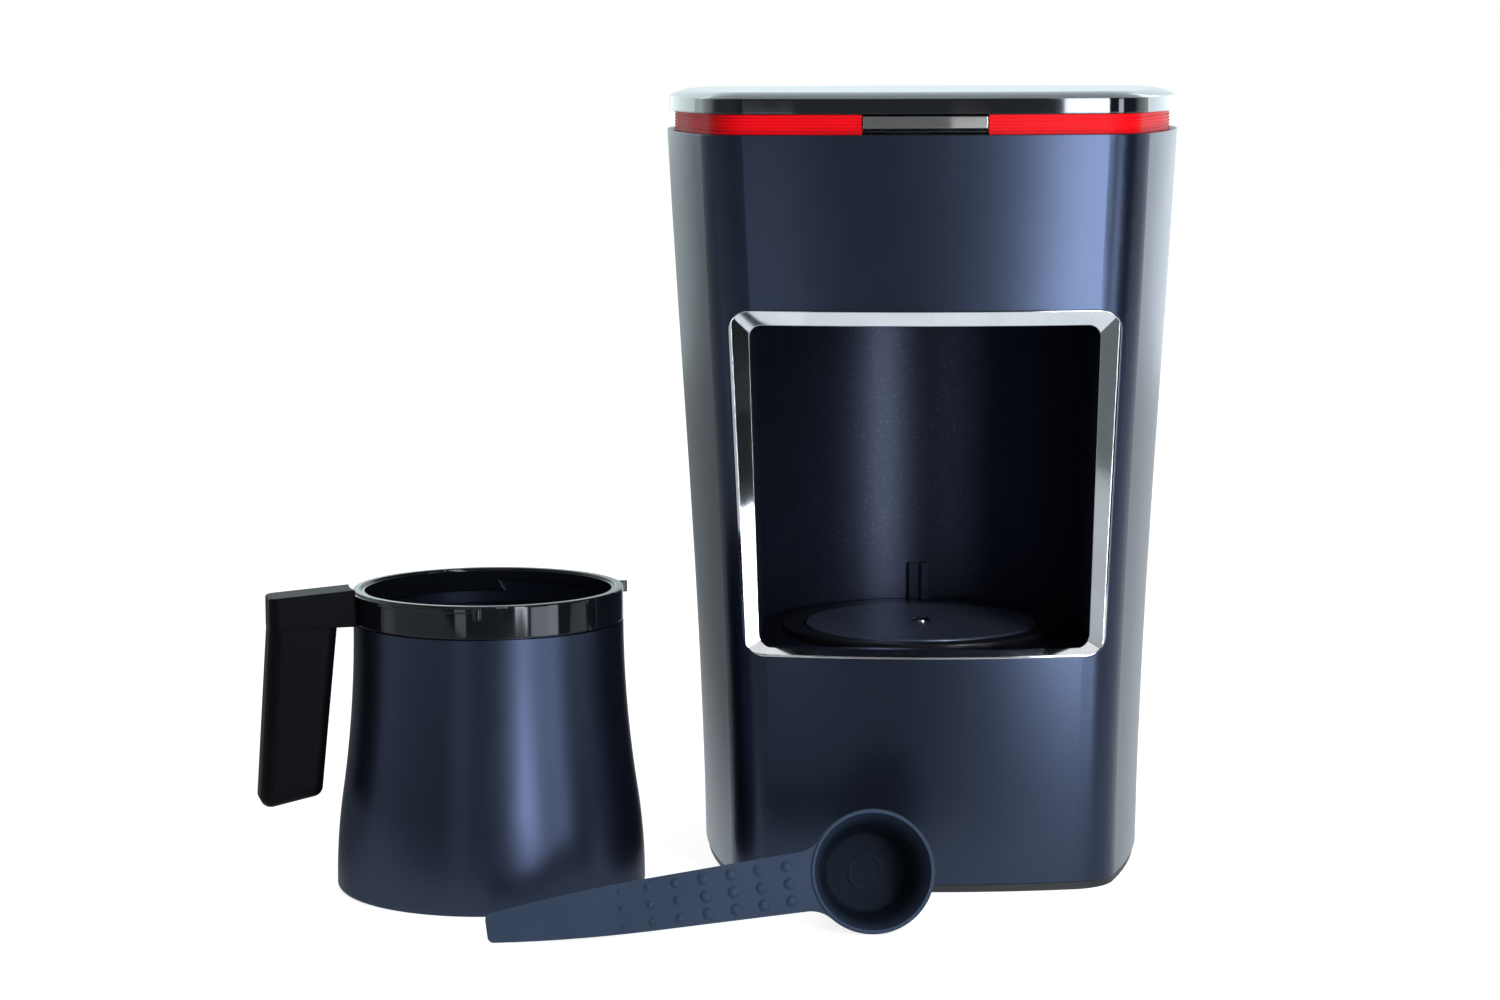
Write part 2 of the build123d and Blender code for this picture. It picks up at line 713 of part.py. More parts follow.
# ================================================================== top
with BuildPart() as top_frame:
    extrude(body_plan(body_height, housing_wall + tray_fit, body_height - tray_thick), amount=tray_thick)
    extrude(body_plan(body_height, tray_dish_inset, dish_low), amount=tray_dish_depth)
    extrude(body_plan(body_height, tray_rim_inset, body_height), amount=lid_low - body_height)
    extrude(body_plan(body_height, tray_rim_inset + tray_rim_wall, body_height), amount=lid_low - body_height,
            mode=Mode.SUBTRACT)
    extrude(body_plan(body_height, tray_dish_inset + tray_rim_wall, dish_floor), amount=tray_dish_depth,
            mode=Mode.SUBTRACT)
    # gap in the rim for the button, closed above by the lid
    with Locations((0, -top_front, button_low - button_gap)):
        Box(button_width + 2 * button_gap, 4 * (tray_rim_inset + tray_rim_wall), button_height + 4 * button_gap,
            align=up, mode=Mode.SUBTRACT)
    # posts for the board and for the two button springs
    with Locations((0, board_middle, dish_floor)):
        with GridLocations(2 * post_half, board_depth - 2 * board_edge, 2, 2):
            Cylinder(board_post_radius, board_top - board_thick - dish_floor, align=up)
    with Locations((0, flange_back + button_spring_length + spring_post_thick / 2, dish_floor)):
        with GridLocations(2 * button_spring_spread, 0, 2, 1):
            Box(spring_post_width, spring_post_thick, button_mid + 3 - dish_floor, align=up)
    # holes for the corner screws and the wires
    with Locations(*[(x, y, dish_low) for x, y in high_spots]):
        Cylinder(clearance_radius, 2 * tray_floor_thick, mode=Mode.SUBTRACT)
    with Locations((-harness_side, harness_back, dish_low)):
        Cylinder(2 * harness_radius, 2 * tray_floor_thick, mode=Mode.SUBTRACT)

with BuildPart() as red_band:
    extrude(body_plan(body_height, band_inset, body_height), amount=band_height)
    rib_pitch = band_height / (band_ribs + 1)
    for step in range(1, band_ribs + 1):
        middle = body_height + step * rib_pitch
        extrude(body_plan(body_height, band_inset - 1, middle - rib_cut), amount=2 * rib_cut, mode=Mode.SUBTRACT)
        extrude(body_plan(body_height, band_inset + rib_cut, middle - rib_cut), amount=2 * rib_cut)
    extrude(body_plan(body_height, band_inset + band_wall, body_height), amount=band_height, mode=Mode.SUBTRACT)
    with Locations((0, -top_front, body_height)):
        Box(button_width + 2 * button_gap, 4 * (band_inset + band_wall), 3 * band_height, mode=Mode.SUBTRACT)

with BuildPart() as lid:
    extrude(body_plan(body_height, lid_inset, lid_low), amount=lid_rim)
    loft([
        body_plan(body_height, lid_inset, lid_rim_top),
        body_plan(body_height, lid_inset + lid_shoulder * 0.35, lid_rim_top + lid_rise * 0.62),
        body_plan(body_height, lid_inset + lid_shoulder, lid_top),
    ])
    extrude(body_plan(body_height, tray_rim_inset + tray_rim_wall + stop_gap, lid_low - lid_tongue),
            amount=lid_tongue)
    extrude(body_plan(body_height, tray_rim_inset + 2 * tray_rim_wall, lid_low - lid_tongue),
            amount=lid_top - lid_shell - lid_low + lid_tongue, mode=Mode.SUBTRACT)
    # the tongue is left out over the button's flange
    with Locations((0, -top_front, lid_low)):
        Box(button_width + 6 * button_flange_over, 8 * tray_rim_inset, 2 * lid_tongue, align=down,
            mode=Mode.SUBTRACT)

with BuildPart() as frame_screws:
    with Locations(*[(x, y, dish_floor) for x, y in high_spots]):
        Cylinder(screw_head_radius, screw_head_height, align=up)
        Cylinder(screw_radius, screw_length, align=down)

# flange behind the rim, curved in front and flat behind, and the stem that works the switch
with BuildPart() as button_flange:
    extrude(body_plan(body_height, tray_rim_inset + tray_rim_wall + stop_gap, button_low), amount=button_height)
    with Locations((0, flange_back, button_mid)):
        Box(button_width + 2 * button_flange_over, 4 * tray_rim_inset, button_height,
            align=(Align.CENTER, Align.MAX, Align.CENTER), mode=Mode.INTERSECT)
        Box(button_stem_width, button_stem, button_stem_height, align=(Align.CENTER, Align.MIN, Align.CENTER))

with BuildPart() as power_button:
    extrude(body_plan(body_height, button_inset, button_low), amount=button_height)
    with Locations((0, flange_back, button_mid)):
        Box(button_width, 4 * tray_rim_inset, button_height,
            align=(Align.CENTER, Align.MAX, Align.CENTER), mode=Mode.INTERSECT)
    chamfer(power_button.faces().sort_by(Axis.Y)[0].edges().sort_by(Axis.Z)[0], button_bevel)
    add(button_flange.part)

with BuildPart() as switch_plunger:
    with Locations(Location((0, stem_back, button_mid), (-90, 0, 0))):
        Cylinder(plunger_radius, plunger_length, align=up)

with BuildPart() as micro_switch:
    with Locations((0, switch_front, button_mid)):
        Box(switch_width, switch_depth, switch_height, align=(Align.CENTER, Align.MIN, Align.CENTER))
    with Locations(Location((0, switch_front, button_mid), (-90, 0, 0))):
        Cylinder(plunger_radius + running_gap, plunger_length, align=up, mode=Mode.SUBTRACT)

with BuildPart() as button_springs:
    for side in (-1, 1):
        add(spring(button_spring_radius, button_spring_wire, button_spring_turns,
                   (side * button_spring_spread, flange_back, button_mid), button_spring_length, (0, 1, 0)))

with BuildPart() as control_board:
    with Locations((0, board_middle, board_top)):
        Box(board_width, board_depth, board_thick, align=down)
    with Locations((-harness_side, board_middle + board_depth / 2 - plug_size[1], board_top)):
        Box(*plug_size, align=(Align.CENTER, Align.MIN, Align.MIN))
    with Locations((chip_side, board_middle, board_top)):
        Box(*chip_size, align=up)

with BuildPart() as buzzer:
    with Locations((-buzzer_side, board_middle, board_top)):
        Cylinder(buzzer_radius, buzzer_height, align=up)
        Cylinder(buzzer_hole, buzzer_height, align=up, mode=Mode.SUBTRACT)

# ================================================================== base
with BuildPart() as base_plate:
    extrude(body_plan(base_low, base_inset, base_low), amount=base_high - base_low)
    extrude(body_plan(base_low, base_inset + base_rim_wall, base_low), amount=base_high - base_slab - base_low,
            mode=Mode.SUBTRACT)
    extrude(body_plan(base_high, housing_wall + tray_fit, base_high), amount=base_lip_height)
    extrude(body_plan(base_high, housing_wall + tray_fit + base_lip_wall, base_high), amount=base_lip_height,
            mode=Mode.SUBTRACT)
    with Locations(*[(x, y, base_high) for x, y in low_spots + leg_spots]):
        Cylinder(pad_radius, pad_high - base_high, align=up)
    with Locations(*[(x, y, base_high - base_slab) for x, y in low_spots + leg_spots]):
        Cylinder(clearance_radius, pad_high, align=up, mode=Mode.SUBTRACT)
        Cylinder(head_pocket_radius, head_pocket_depth, align=up, mode=Mode.SUBTRACT)
    with Locations((0, power_board_middle, base_high)):
        with GridLocations(2 * post_half, power_board_depth - 2 * board_edge, 2, 2):
            Cylinder(board_post_radius, power_board_level - base_high, align=up)
    # air slots under the power board
    with Locations((0, power_board_middle, base_high)):
        with GridLocations(air_slot_pitch, 0, air_slot_count, 1):
            Box(air_slot_width, air_slot_length, 3 * base_slab, mode=Mode.SUBTRACT)

screw_seat = base_high - base_slab + head_pocket_depth
base_screws = pan_screws(low_spots, screw_seat, screw_length)
floor_screws = pan_screws(leg_spots, screw_seat, screw_length)

feet = {}
for (x, y), place in zip(low_spots, ("front_left", "front_right", "rear_left", "rear_right")):
    with BuildPart() as foot:
        with Locations((x, y, 0)):
            Cylinder(foot_radius, base_high - base_slab, align=up)
        chamfer(foot.edges().group_by(Axis.Z)[0], foot_chamfer)
    feet["foot_" + place] = foot

with BuildPart() as power_board:
    with Locations((0, power_board_middle, power_board_level)):
        Box(board_width, power_board_depth, board_thick, align=up)
    board_face = power_board_level + board_thick
    with Locations((-harness_side, power_board_middle + power_board_depth / 2 - plug_size[1], board_face)):
        Box(*plug_size, align=(Align.CENTER, Align.MIN, Align.MIN))
    with Locations((-capacitor_side, power_board_middle, board_face)):
        Cylinder(capacitor_radius, capacitor_height, align=up)

with BuildPart() as relay:
    with Locations((relay_side, power_board_middle, board_face)):
        Box(*relay_size, align=up)
    fillet(relay.edges().filter_by(Axis.Z), 1.0)

with BuildPart() as terminal_block:
    with Locations((0, terminal_middle, base_high)):
        Box(*terminal_size, align=up)
    with Locations((0, terminal_middle, base_high + terminal_size[2])):
        with GridLocations(terminal_pitch, 0, 3, 1):
            Cylinder(terminal_hole, terminal_hole_depth, align=down, mode=Mode.SUBTRACT)

with BuildPart() as wire_harness:
    with BuildLine() as route:
        level = board_top + plug_size[2] / 2
        low_wire = board_face + plug_size[2] / 2
        FilletPolyline(
            (-harness_side, board_middle + board_depth / 2, level),
            (-harness_side, harness_back, level),
            (-harness_side, harness_back, low_wire),
            (-harness_side, power_board_middle + power_board_depth / 2, low_wire),
            radius=harness_bend,
        )
    with BuildSketch(Plane(route.line @ 0, z_dir=route.line % 0)):
        Circle(harness_radius)
    sweep()

gland_face = body_sizes(gland_level)[3]
with BuildPart() as cord_gland:
    with Locations(Location((0, gland_face + gland_flange, gland_level), (90, 0, 0))):
        Cylinder(gland_flange_radius, 2 * gland_flange, align=up)
    fillet(cord_gland.edges().group_by(Axis.Y)[-1], 0.8)
    loft(skin(), mode=Mode.SUBTRACT)
    with Locations(Location((0, gland_face + gland_flange / 2, gland_level), (90, 0, 0))):
        Cylinder(gland_radius, gland_depth + gland_flange / 2, align=up)
    with Locations(Location((0, gland_face + gland_flange, gland_level), (90, 0, 0))):
        Cylinder(gland_bore, gland_depth + gland_flange, align=up, mode=Mode.SUBTRACT)

# ================================================================== coffee pot
pot_axis = Axis((pot_x, pot_y, 0), (0, 0, 1))
pot_side = Plane((pot_x, pot_y, 0), x_dir=(handle_x, handle_y, 0), z_dir=(handle_y, -handle_x, 0))
pot_plan = Plane((pot_x, pot_y, 0), x_dir=(handle_x, handle_y, 0), z_dir=(0, 0, 1))
neck_radius = pot_shoulder_radius - pot_neck_step
collar_radius = pot_shoulder_radius + 0.05


def pot_flank(inward, floor):
    """Outline of the pot from its floor to its shoulder, drawn in and up by a wall's thickness."""
    base = pot_base_radius - inward
    corner = max(pot_base_round - inward, 1.0)
    mid_low = (pot_turn_level + floor + corner) / 2
    start = Vector(0, floor)
    foot = Vector(base - corner, floor)
    side = Vector(base, floor + corner)
    turn = Vector(pot_turn_radius - inward, pot_turn_level)
    top = Vector(pot_shoulder_radius - inward, pot_shoulder_level - inward)
    mid_high = (pot_turn_level + pot_shoulder_level) / 2
    low_bulge = base - (base - turn.X) / 4
    high_bulge = top.X + (turn.X - top.X) / 4
    Line(start, foot)
    RadiusArc(foot, side, -corner)
    ThreePointArc(side, (low_bulge, mid_low), turn)
    ThreePointArc(turn, (high_bulge, mid_high), top)
    return top


with BuildPart() as pot_body:
    with BuildSketch(pot_side):
        with BuildLine():
            top = pot_flank(0.0, 0.0)
            Polyline(top, (neck_radius, pot_shoulder_level), (neck_radius, pot_neck_level),
                     (0, pot_neck_level), (0, 0))
        make_face()
    revolve(axis=pot_axis)
    with BuildSketch(pot_side):
        with BuildLine():
            top = pot_flank(pot_wall, pot_floor)
            inner_neck = neck_radius - pot_wall
            Polyline(top, (inner_neck, top.Y), (inner_neck, pot_neck_level + 1), (0, pot_neck_level + 1),
                     (0, pot_floor))
        make_face()
    revolve(axis=pot_axis, mode=Mode.SUBTRACT)

with BuildPart() as pot_collar:
    lip_low = collar_top - collar_lip
    with BuildSketch(pot_side):
        with BuildLine():
            Polyline(
                (neck_radius, pot_shoulder_level + collar_groove),
                (collar_radius, pot_shoulder_level + collar_groove),
                (collar_radius, collar_top),
                (collar_radius - collar_lip_reach, collar_top),
                (collar_radius - collar_lip_reach, lip_low),
                (neck_radius, lip_low),
                close=True,
            )
        make_face()
    revolve(axis=pot_axis)
    fillet(pot_collar.edges().group_by(Axis.Z)[-1], 0.6)
    # a raised ledge runs from the handle to the front nub
    ledge_high = collar_top - ledge_drop
    with BuildSketch(pot_side):
        with Locations((collar_radius - 0.4, ledge_high)):
            Rectangle(ledge_proud + 0.4, ledge_height, align=(Align.MIN, Align.MAX))
    revolve(axis=pot_axis, revolution_arc=ledge_sweep)
    for turn, proud in zip((ledge_sweep, far_nub_turn), nub_proud):
        with BuildSketch(pot_plan.rotated((0, 0, turn)).offset(ledge_high - nub_height)):
            with Locations((collar_radius + proud / 2 - 0.5, 0)):
                RectangleRounded(proud + 1, nub_width, 0.8)
        extrude(amount=nub_height)

with BuildPart() as pour_skirt:
    skirt_radius = collar_radius - collar_lip_reach
    with BuildSketch(pot_side):
        with Locations((skirt_radius, collar_top - 0.6)):
            Rectangle(skirt_wall, skirt_tall, align=(Align.MAX, Align.MAX))
    revolve(axis=pot_axis)
    # the skirt is short on the pouring side, with a ramp between its two heights
    short_low = collar_top - 0.6 - skirt_short
    with BuildSketch(pot_side):
        with BuildLine():
            Polyline(
                (-2 * skirt_radius, short_low),
                (-skirt_turn + skirt_ramp, short_low),
                (-skirt_turn, short_low - skirt_tall),
                (-2 * skirt_radius, short_low - skirt_tall),
                close=True,
            )
        make_face()
    extrude(amount=2 * skirt_radius, both=True, mode=Mode.SUBTRACT)

arm_low = collar_top - arm_height
grip_top_in = collar_radius + grip_gap
screw_line = (grip_top_in + grip_top_out + grip_low_in + grip_low_out) / 4
screw_seat_level = arm_low + arm_height / 2 - handle_screw_length
screw_spot = (pot_x + handle_x * screw_line, pot_y + handle_y * screw_line)
with BuildPart() as handle_arm:
    with BuildSketch(pot_side):
        with BuildLine():
            Polyline(
                (neck_radius, arm_low),
                (grip_top_out, arm_low),
                (grip_top_out, collar_top - arm_fall),
                (neck_radius, collar_top + arm_rise),
                close=True,
            )
        make_face()
    extrude(amount=arm_width / 2, both=True)
    fillet(handle_arm.edges().filter_by(Axis.Z).sort_by_distance((pot_x, pot_y, arm_low))[-2:], 3.0)
    fillet(handle_arm.faces().sort_by(Axis.Z)[-1].edges(), 0.8)
    with Locations((pot_x, pot_y, arm_low - 1)):
        Cylinder(collar_radius + ledge_proud + 0.3, 2 * arm_height, align=up, mode=Mode.SUBTRACT)
    # tongue that meets the collar under the ledge
    with BuildSketch(pot_side):
        with Locations((collar_radius - 0.5, arm_low)):
            Rectangle(4, arm_height - ledge_drop - ledge_height - 1, align=(Align.MIN, Align.MIN))
    extrude(amount=arm_width / 2 - 1.5, both=True)
    with Locations((pot_x, pot_y, arm_low - 1)):
        Cylinder(collar_radius, 2 * arm_height, align=up, mode=Mode.SUBTRACT)
    with Locations((*screw_spot, arm_low)):
        Cylinder(screw_radius, arm_height / 2, align=up, mode=Mode.SUBTRACT)

with BuildPart() as handle_grip:
    with BuildSketch(pot_side) as grip_side:
        with BuildLine():
            Polyline(
                (grip_top_in, arm_low),
                (grip_top_out, arm_low),
                (grip_low_out, grip_low),
                (grip_low_in, grip_low + grip_low_slant),
                close=True,
            )
        make_face()
        fillet(grip_side.vertices().sort_by(Axis.Y)[:2], grip_corner)
    extrude(amount=arm_width / 2, both=True)
    long_edges = handle_grip.edges().filter_by(lambda edge: edge.length > (arm_low - grip_low) * 0.7)
    fillet(long_edges, grip_round)
    with Locations((*screw_spot, grip_low)):
        Cylinder(head_pocket_radius, screw_seat_level - grip_low, align=up, mode=Mode.SUBTRACT)
        Cylinder(clearance_radius, arm_low - grip_low, align=up, mode=Mode.SUBTRACT)

with BuildPart() as handle_screw:
    with Locations((*screw_spot, screw_seat_level)):
        Cylinder(screw_head_radius, screw_head_height, align=down)
        Cylinder(screw_radius, handle_screw_length, align=up)

# ================================================================== measuring scoop
# It lies on the side of its conical bowl, so its face looks up by half the cone's angle.
scoop_lean = atan((scoop_rim_radius - scoop_floor_radius - scoop_wall) / (scoop_depth + scoop_wall - scoop_plate))
turn, slope = radians(scoop_turn), radians(scoop_slope)
scoop_along = Vector(cos(turn) * cos(slope), sin(turn) * cos(slope), sin(slope))
level_out = Vector(sin(turn), -cos(turn), 0)
scoop_out = level_out * cos(scoop_lean) + scoop_along.cross(-level_out) * sin(scoop_lean)
scoop_height = scoop_rim_radius * sqrt(1 - scoop_out.Z ** 2) + scoop_plate * scoop_out.Z
scoop_plane = Plane((scoop_x, scoop_y, scoop_height), x_dir=scoop_along, z_dir=scoop_out)
scoop_across = scoop_plane.y_dir
scoop_section = Plane(scoop_plane.origin, x_dir=scoop_along, z_dir=-scoop_across)
scoop_axis = Axis(scoop_plane.origin, scoop_out)

with BuildPart() as measuring_scoop:
    # handle and rim in one flat outline
    with BuildSketch(scoop_plane) as outline:
        with BuildLine():
            root = -scoop_rim_radius * 0.6
            lower = [(-scoop_reach, -scoop_tip_half), (-scoop_mid_reach, -scoop_mid_half),
                     (-scoop_wide_reach, -scoop_wide_half)]
            upper = [(x, -y) for x, y in lower]
            ThreePointArc(*lower)
            Polyline(lower[-1], (root, -scoop_root_half), (root, scoop_root_half), upper[-1])
            ThreePointArc(*reversed(upper))
            Line(upper[0], lower[0])
        make_face()
        fillet(outline.vertices().group_by(Axis.X)[0], 2.0)
        Circle(scoop_rim_radius)
        on_rim = outline.vertices().filter_by(
            lambda corner: corner.X < 0 and abs(corner.center().length - scoop_rim_radius) < 0.01)
        fillet(on_rim, scoop_fillet)
    extrude(amount=-scoop_plate)
    # bowl
    with BuildSketch(scoop_section):
        with BuildLine():
            floor_out = scoop_floor_radius + scoop_wall
            Polyline((0, 0), (scoop_rim_radius, 0), (scoop_rim_radius - 0.4, -scoop_plate),
                     (floor_out, -scoop_depth - scoop_wall), (0, -scoop_depth - scoop_wall), close=True)
        make_face()
    revolve(axis=scoop_axis)
    with BuildSketch(scoop_plane):
        Circle(scoop_rim_radius - 0.3)
        Circle(scoop_rim_radius - scoop_wall - 0.2, mode=Mode.SUBTRACT)
    extrude(amount=scoop_lip)
    with BuildSketch(scoop_section) as hollow_side:
        with BuildLine():
            Polyline((0, 1), (scoop_rim_radius - scoop_wall, 1), (scoop_rim_radius - scoop_wall, 0),
                     (scoop_floor_radius, -scoop_depth), (0, -scoop_depth), close=True)
        make_face()
        fillet(hollow_side.vertices().sort_by_distance((scoop_floor_radius, -scoop_depth))[0], 1.5)
    revolve(axis=scoop_axis, mode=Mode.SUBTRACT)
    with BuildSketch(scoop_plane.offset(-scoop_depth)):
        Circle(scoop_foot_ring)
        Circle(scoop_foot_ring - 0.8, mode=Mode.SUBTRACT)
    extrude(amount=0.4)
    # grip bumps in columns that fade towards the tip
    for column in range(bump_columns):
        size = bump_radius * (1 - bump_fade * max(0, column - 3))
        rise = bump_height * size / bump_radius
        with BuildPart(mode=Mode.PRIVATE) as bump:
            with BuildSketch(Plane.XZ):
                with BuildLine():
                    Polyline((size, 0), (size, -scoop_plate / 2), (0, -scoop_plate / 2), (0, rise))
                    ThreePointArc((0, rise), (size * 0.6, rise * 0.72), (size, 0))
                make_face()
            revolve(axis=Axis.Z)
        for row in range(bump_rows):
            across = (row - (bump_rows - 1) / 2) * bump_row_pitch
            spot = scoop_plane.from_local_coords((-bump_first - column * bump_column_pitch, across, 0))
            add(Plane(spot, x_dir=scoop_along, z_dir=scoop_out).location * bump.part)

# ================================================================== export
pieces = {
    "outer_housing": outer_housing,
    "window_frame": window_frame,
    "rear_cover": rear_cover,
    "bay_wall": bay_wall,
    "bay_floor": bay_floor,
    "bay_ceiling": bay_ceiling,
    "foam_sensor_lens": foam_sensor_lens,
    "foam_sensor": foam_sensor,
    "plate_ring": plate_ring,
    "hot_plate": hot_plate,
    "heating_element": heating_element,
    "heat_shield": heat_shield,
    "sensor_guide": sensor_guide,
    "sensor_pin": sensor_pin,
    "sensor_spring": sensor_spring,
    "thermostat": thermostat,
    "thermal_fuse": thermal_fuse,
    "top_frame": top_frame,
    "red_band": red_band,
    "lid": lid,
    "frame_screws": frame_screws,
    "power_button": power_button,
    "switch_plunger": switch_plunger,
    "micro_switch": micro_switch,
    "button_springs": button_springs,
    "control_board": control_board,
    "buzzer": buzzer,
    "base_plate": base_plate,
    "base_screws": base_screws,
    "floor_screws": floor_screws,
    **feet,
    "power_board": power_board,
    "relay": relay,
    "terminal_block": terminal_block,
    "wire_harness": wire_harness,
    "cord_gland": cord_gland,
    "pot_body": pot_body,
    "pot_collar": pot_collar,
    "pour_skirt": pour_skirt,
    "handle_arm": handle_arm,
    "handle_grip": handle_grip,
    "handle_screw": handle_screw,
    "measuring_scoop": measuring_scoop,
}

os.makedirs("parts", exist_ok=True)
for name, piece in pieces.items():
    piece.part.label = name
    export_step(piece.part, f"parts/{name}.step")
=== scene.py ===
"""Dresses the electric Turkish coffee maker, its coffee pot and its measuring scoop.

Metres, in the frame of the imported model: +X to the right, +Y to the back, +Z up, and the origin on
the counter under the centre of the hot plate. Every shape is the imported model's own; this script adds
the finishes, the studio's floor and light, and the camera.
"""

import math

import bpy
from bpy.props import FloatProperty, FloatVectorProperty, IntProperty, PointerProperty
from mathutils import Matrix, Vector


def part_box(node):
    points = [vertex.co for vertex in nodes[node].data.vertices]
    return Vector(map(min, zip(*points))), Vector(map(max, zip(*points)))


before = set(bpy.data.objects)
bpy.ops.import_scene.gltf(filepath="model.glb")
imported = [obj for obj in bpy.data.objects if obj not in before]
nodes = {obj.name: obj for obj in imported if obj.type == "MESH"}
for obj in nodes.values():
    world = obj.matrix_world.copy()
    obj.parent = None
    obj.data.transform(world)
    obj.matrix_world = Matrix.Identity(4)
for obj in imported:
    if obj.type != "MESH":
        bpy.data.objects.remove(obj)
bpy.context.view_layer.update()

bl_info = {
    "name": "Turkish Coffee Maker",
    "version": (1, 0, 0),
    "blender": (4, 5, 0),
    "location": "View3D > Sidebar > Coffee Maker",
    "description": "Finishes of a Turkish coffee maker with its pot and scoop, and a studio for them",
    "category": "Object",
}

groups = {}

NUMBER, VECTOR = "NodeSocketFloat", "NodeSocketVector"
NODE_STEP = 180
AFTER_FINISH = 20


# ------------------------------------------------------------------ shader building blocks
class Sheet:
    """A node tree being drawn, with short calls to add nodes and join their sockets."""

    def __init__(self, tree, column=0):
        self.tree = tree
        self.column = column

    def add(self, kind, inputs=None, **settings):
        node = self.tree.nodes.new(kind)
        node.location = (self.column * NODE_STEP, 0)
        self.column += 1
        for key, value in settings.items():
            setattr(node, key, value)
        for key, value in (inputs or {}).items():
            self.put(node.inputs[key], value)
        return node

    def put(self, socket, value):
        """Sets a socket to a value, or joins it to another socket."""
        if isinstance(value, bpy.types.NodeSocket):
            self.tree.links.new(value, socket)
        else:
            socket.default_value = value

    def math(self, operation, *values):
        node = self.add("ShaderNodeMath", operation=operation)
        for socket, value in zip(node.inputs, values):
            self.put(socket, value)
        return node.outputs[0]

    def vector(self, operation, *values):
        node = self.add("ShaderNodeVectorMath", operation=operation)
        for socket, value in zip(node.inputs, values):
            self.put(socket, value)
        return node.outputs["Value" if operation in ("LENGTH", "DOT_PRODUCT") else "Vector"]

    def blend(self, factor, one, other):
        """A colour between two others."""
        node = self.add("ShaderNodeMix", data_type="RGBA")
        self.put(node.inputs[0], factor)
        self.put(node.inputs[6], one)
        self.put(node.inputs[7], other)
        return node.outputs[2]

    def spread(self, value, low, high, to_low=0.0, to_high=1.0):
        """Maps a value from one range to another, with a soft start and end."""
        node = self.add("ShaderNodeMapRange", interpolation_type="SMOOTHSTEP")
        for socket, number in zip(node.inputs, (value, low, high, to_low, to_high)):
            self.put(socket, number)
        return node.outputs[0]

    def noise(self, place, scale, detail=2.0, roughness=0.5):
        node = self.add("ShaderNodeTexNoise", {"Vector": place, "Scale": scale, "Detail": detail,
                                               "Roughness": roughness})
        return node.outputs["Fac"]

    def object_place(self):
        return self.add("ShaderNodeTexCoord").outputs["Object"]

    def along_axes(self, vector):
        """The X, Y and Z of a vector, by name."""
        return self.add("ShaderNodeSeparateXYZ", {0: vector}).outputs


def opaque(colour, strength=1.0):
    """A colour for a node's socket, dimmed by a strength."""
    return (*[strength * value for value in colour], 1)


def new_group(name, inputs, outputs):
    """An empty shader group; inputs are (name, default, kind of socket), outputs (name, kind)."""
    group = bpy.data.node_groups.new(name, "ShaderNodeTree")
    for label, default, kind in inputs:
        socket = group.interface.new_socket(label, in_out="INPUT", socket_type=kind)
        socket.default_value = default
    for label, kind in outputs:
        group.interface.new_socket(label, in_out="OUTPUT", socket_type=kind)
    sheet = Sheet(group)
    return sheet, sheet.add("NodeGroupInput"), sheet.add("NodeGroupOutput")


def moulded_grain_group():
    """Fine spark-eroded grain: pits over a slower unevenness, and a mask of the few grains that get a painted
    glint.
    """
    slow_waves = 60.0
    sparkle_from, sparkle_full = 0.72, 0.98
    sheet, given, out = new_group("Moulded grain", [("Grains per metre", 2600.0, NUMBER),
                                                    ("Unevenness", 0.35, NUMBER)],
                                  [("Height", NUMBER), ("Painted glint", NUMBER)])
    place = sheet.object_place()
    fine = sheet.noise(place, given.outputs[0], 3.0, 0.6)
    cells = sheet.add("ShaderNodeTexVoronoi", {"Vector": place, "Scale": given.outputs[0]})
    slow = sheet.noise(place, slow_waves)
    pits = sheet.math("MULTIPLY", fine, cells.outputs["Distance"])
    sheet.put(out.inputs[0], sheet.math("MULTIPLY_ADD", slow, given.outputs[1], pits))
    # painted glint mask: the few cells whose random colour is high enough
    sheet.put(out.inputs[1], sheet.spread(cells.outputs["Color"], sparkle_from, sparkle_full))
    return sheet.tree


def handling_group():
    """Dull and shiny patches that handling leaves, and dust that settles on faces that look up."""
    specks_per_metre = 900.0
    sheet, given, out = new_group("Handling marks", [("Patch size", 0.03, NUMBER), ("Dust", 0.15, NUMBER)],
                                  [("Patches", NUMBER), ("Dust mask", NUMBER)])
    place = sheet.object_place()
    scale = sheet.math("DIVIDE", 1.0, given.outputs[0])
    broad = sheet.noise(place, scale, 3.0, 0.55)
    streak = sheet.noise(sheet.vector("MULTIPLY", place, (2.0, 2.0, 1.4)), scale, 4.0, 0.6)
    mixed = sheet.math("MULTIPLY_ADD", streak, 0.5, sheet.math("MULTIPLY", broad, 0.5))
    sheet.put(out.inputs[0], sheet.spread(mixed, 0.38, 0.62))
    upward = sheet.along_axes(sheet.add("ShaderNodeNewGeometry").outputs["Normal"])["Z"]
    specks = sheet.spread(sheet.noise(place, specks_per_metre, 4.0, 0.7), 0.52, 0.74)
    settled = sheet.math("MULTIPLY", sheet.spread(upward, 0.3, 1.0), specks)
    sheet.put(out.inputs[1], sheet.math("MULTIPLY", settled, given.outputs[1]))
    return sheet.tree


def softened_edges_group():
    """Softened normals at sharp edges, and a mask of where those edges are."""
    on_a_flat, on_an_edge = 0.995, 0.86
    sheet, given, out = new_group("Softened edges", [("Radius", 0.0005, NUMBER)],
                                  [("Normal", VECTOR), ("Edge mask", NUMBER)])
    soft = sheet.add("ShaderNodeBevel", {"Radius": given.outputs[0]}, samples=6).outputs[0]
    flat = sheet.add("ShaderNodeNewGeometry").outputs["Normal"]
    sheet.put(out.inputs[0], soft)
    sheet.put(out.inputs[1], sheet.spread(sheet.vector("DOT_PRODUCT", soft, flat), on_a_flat, on_an_edge))
    return sheet.tree


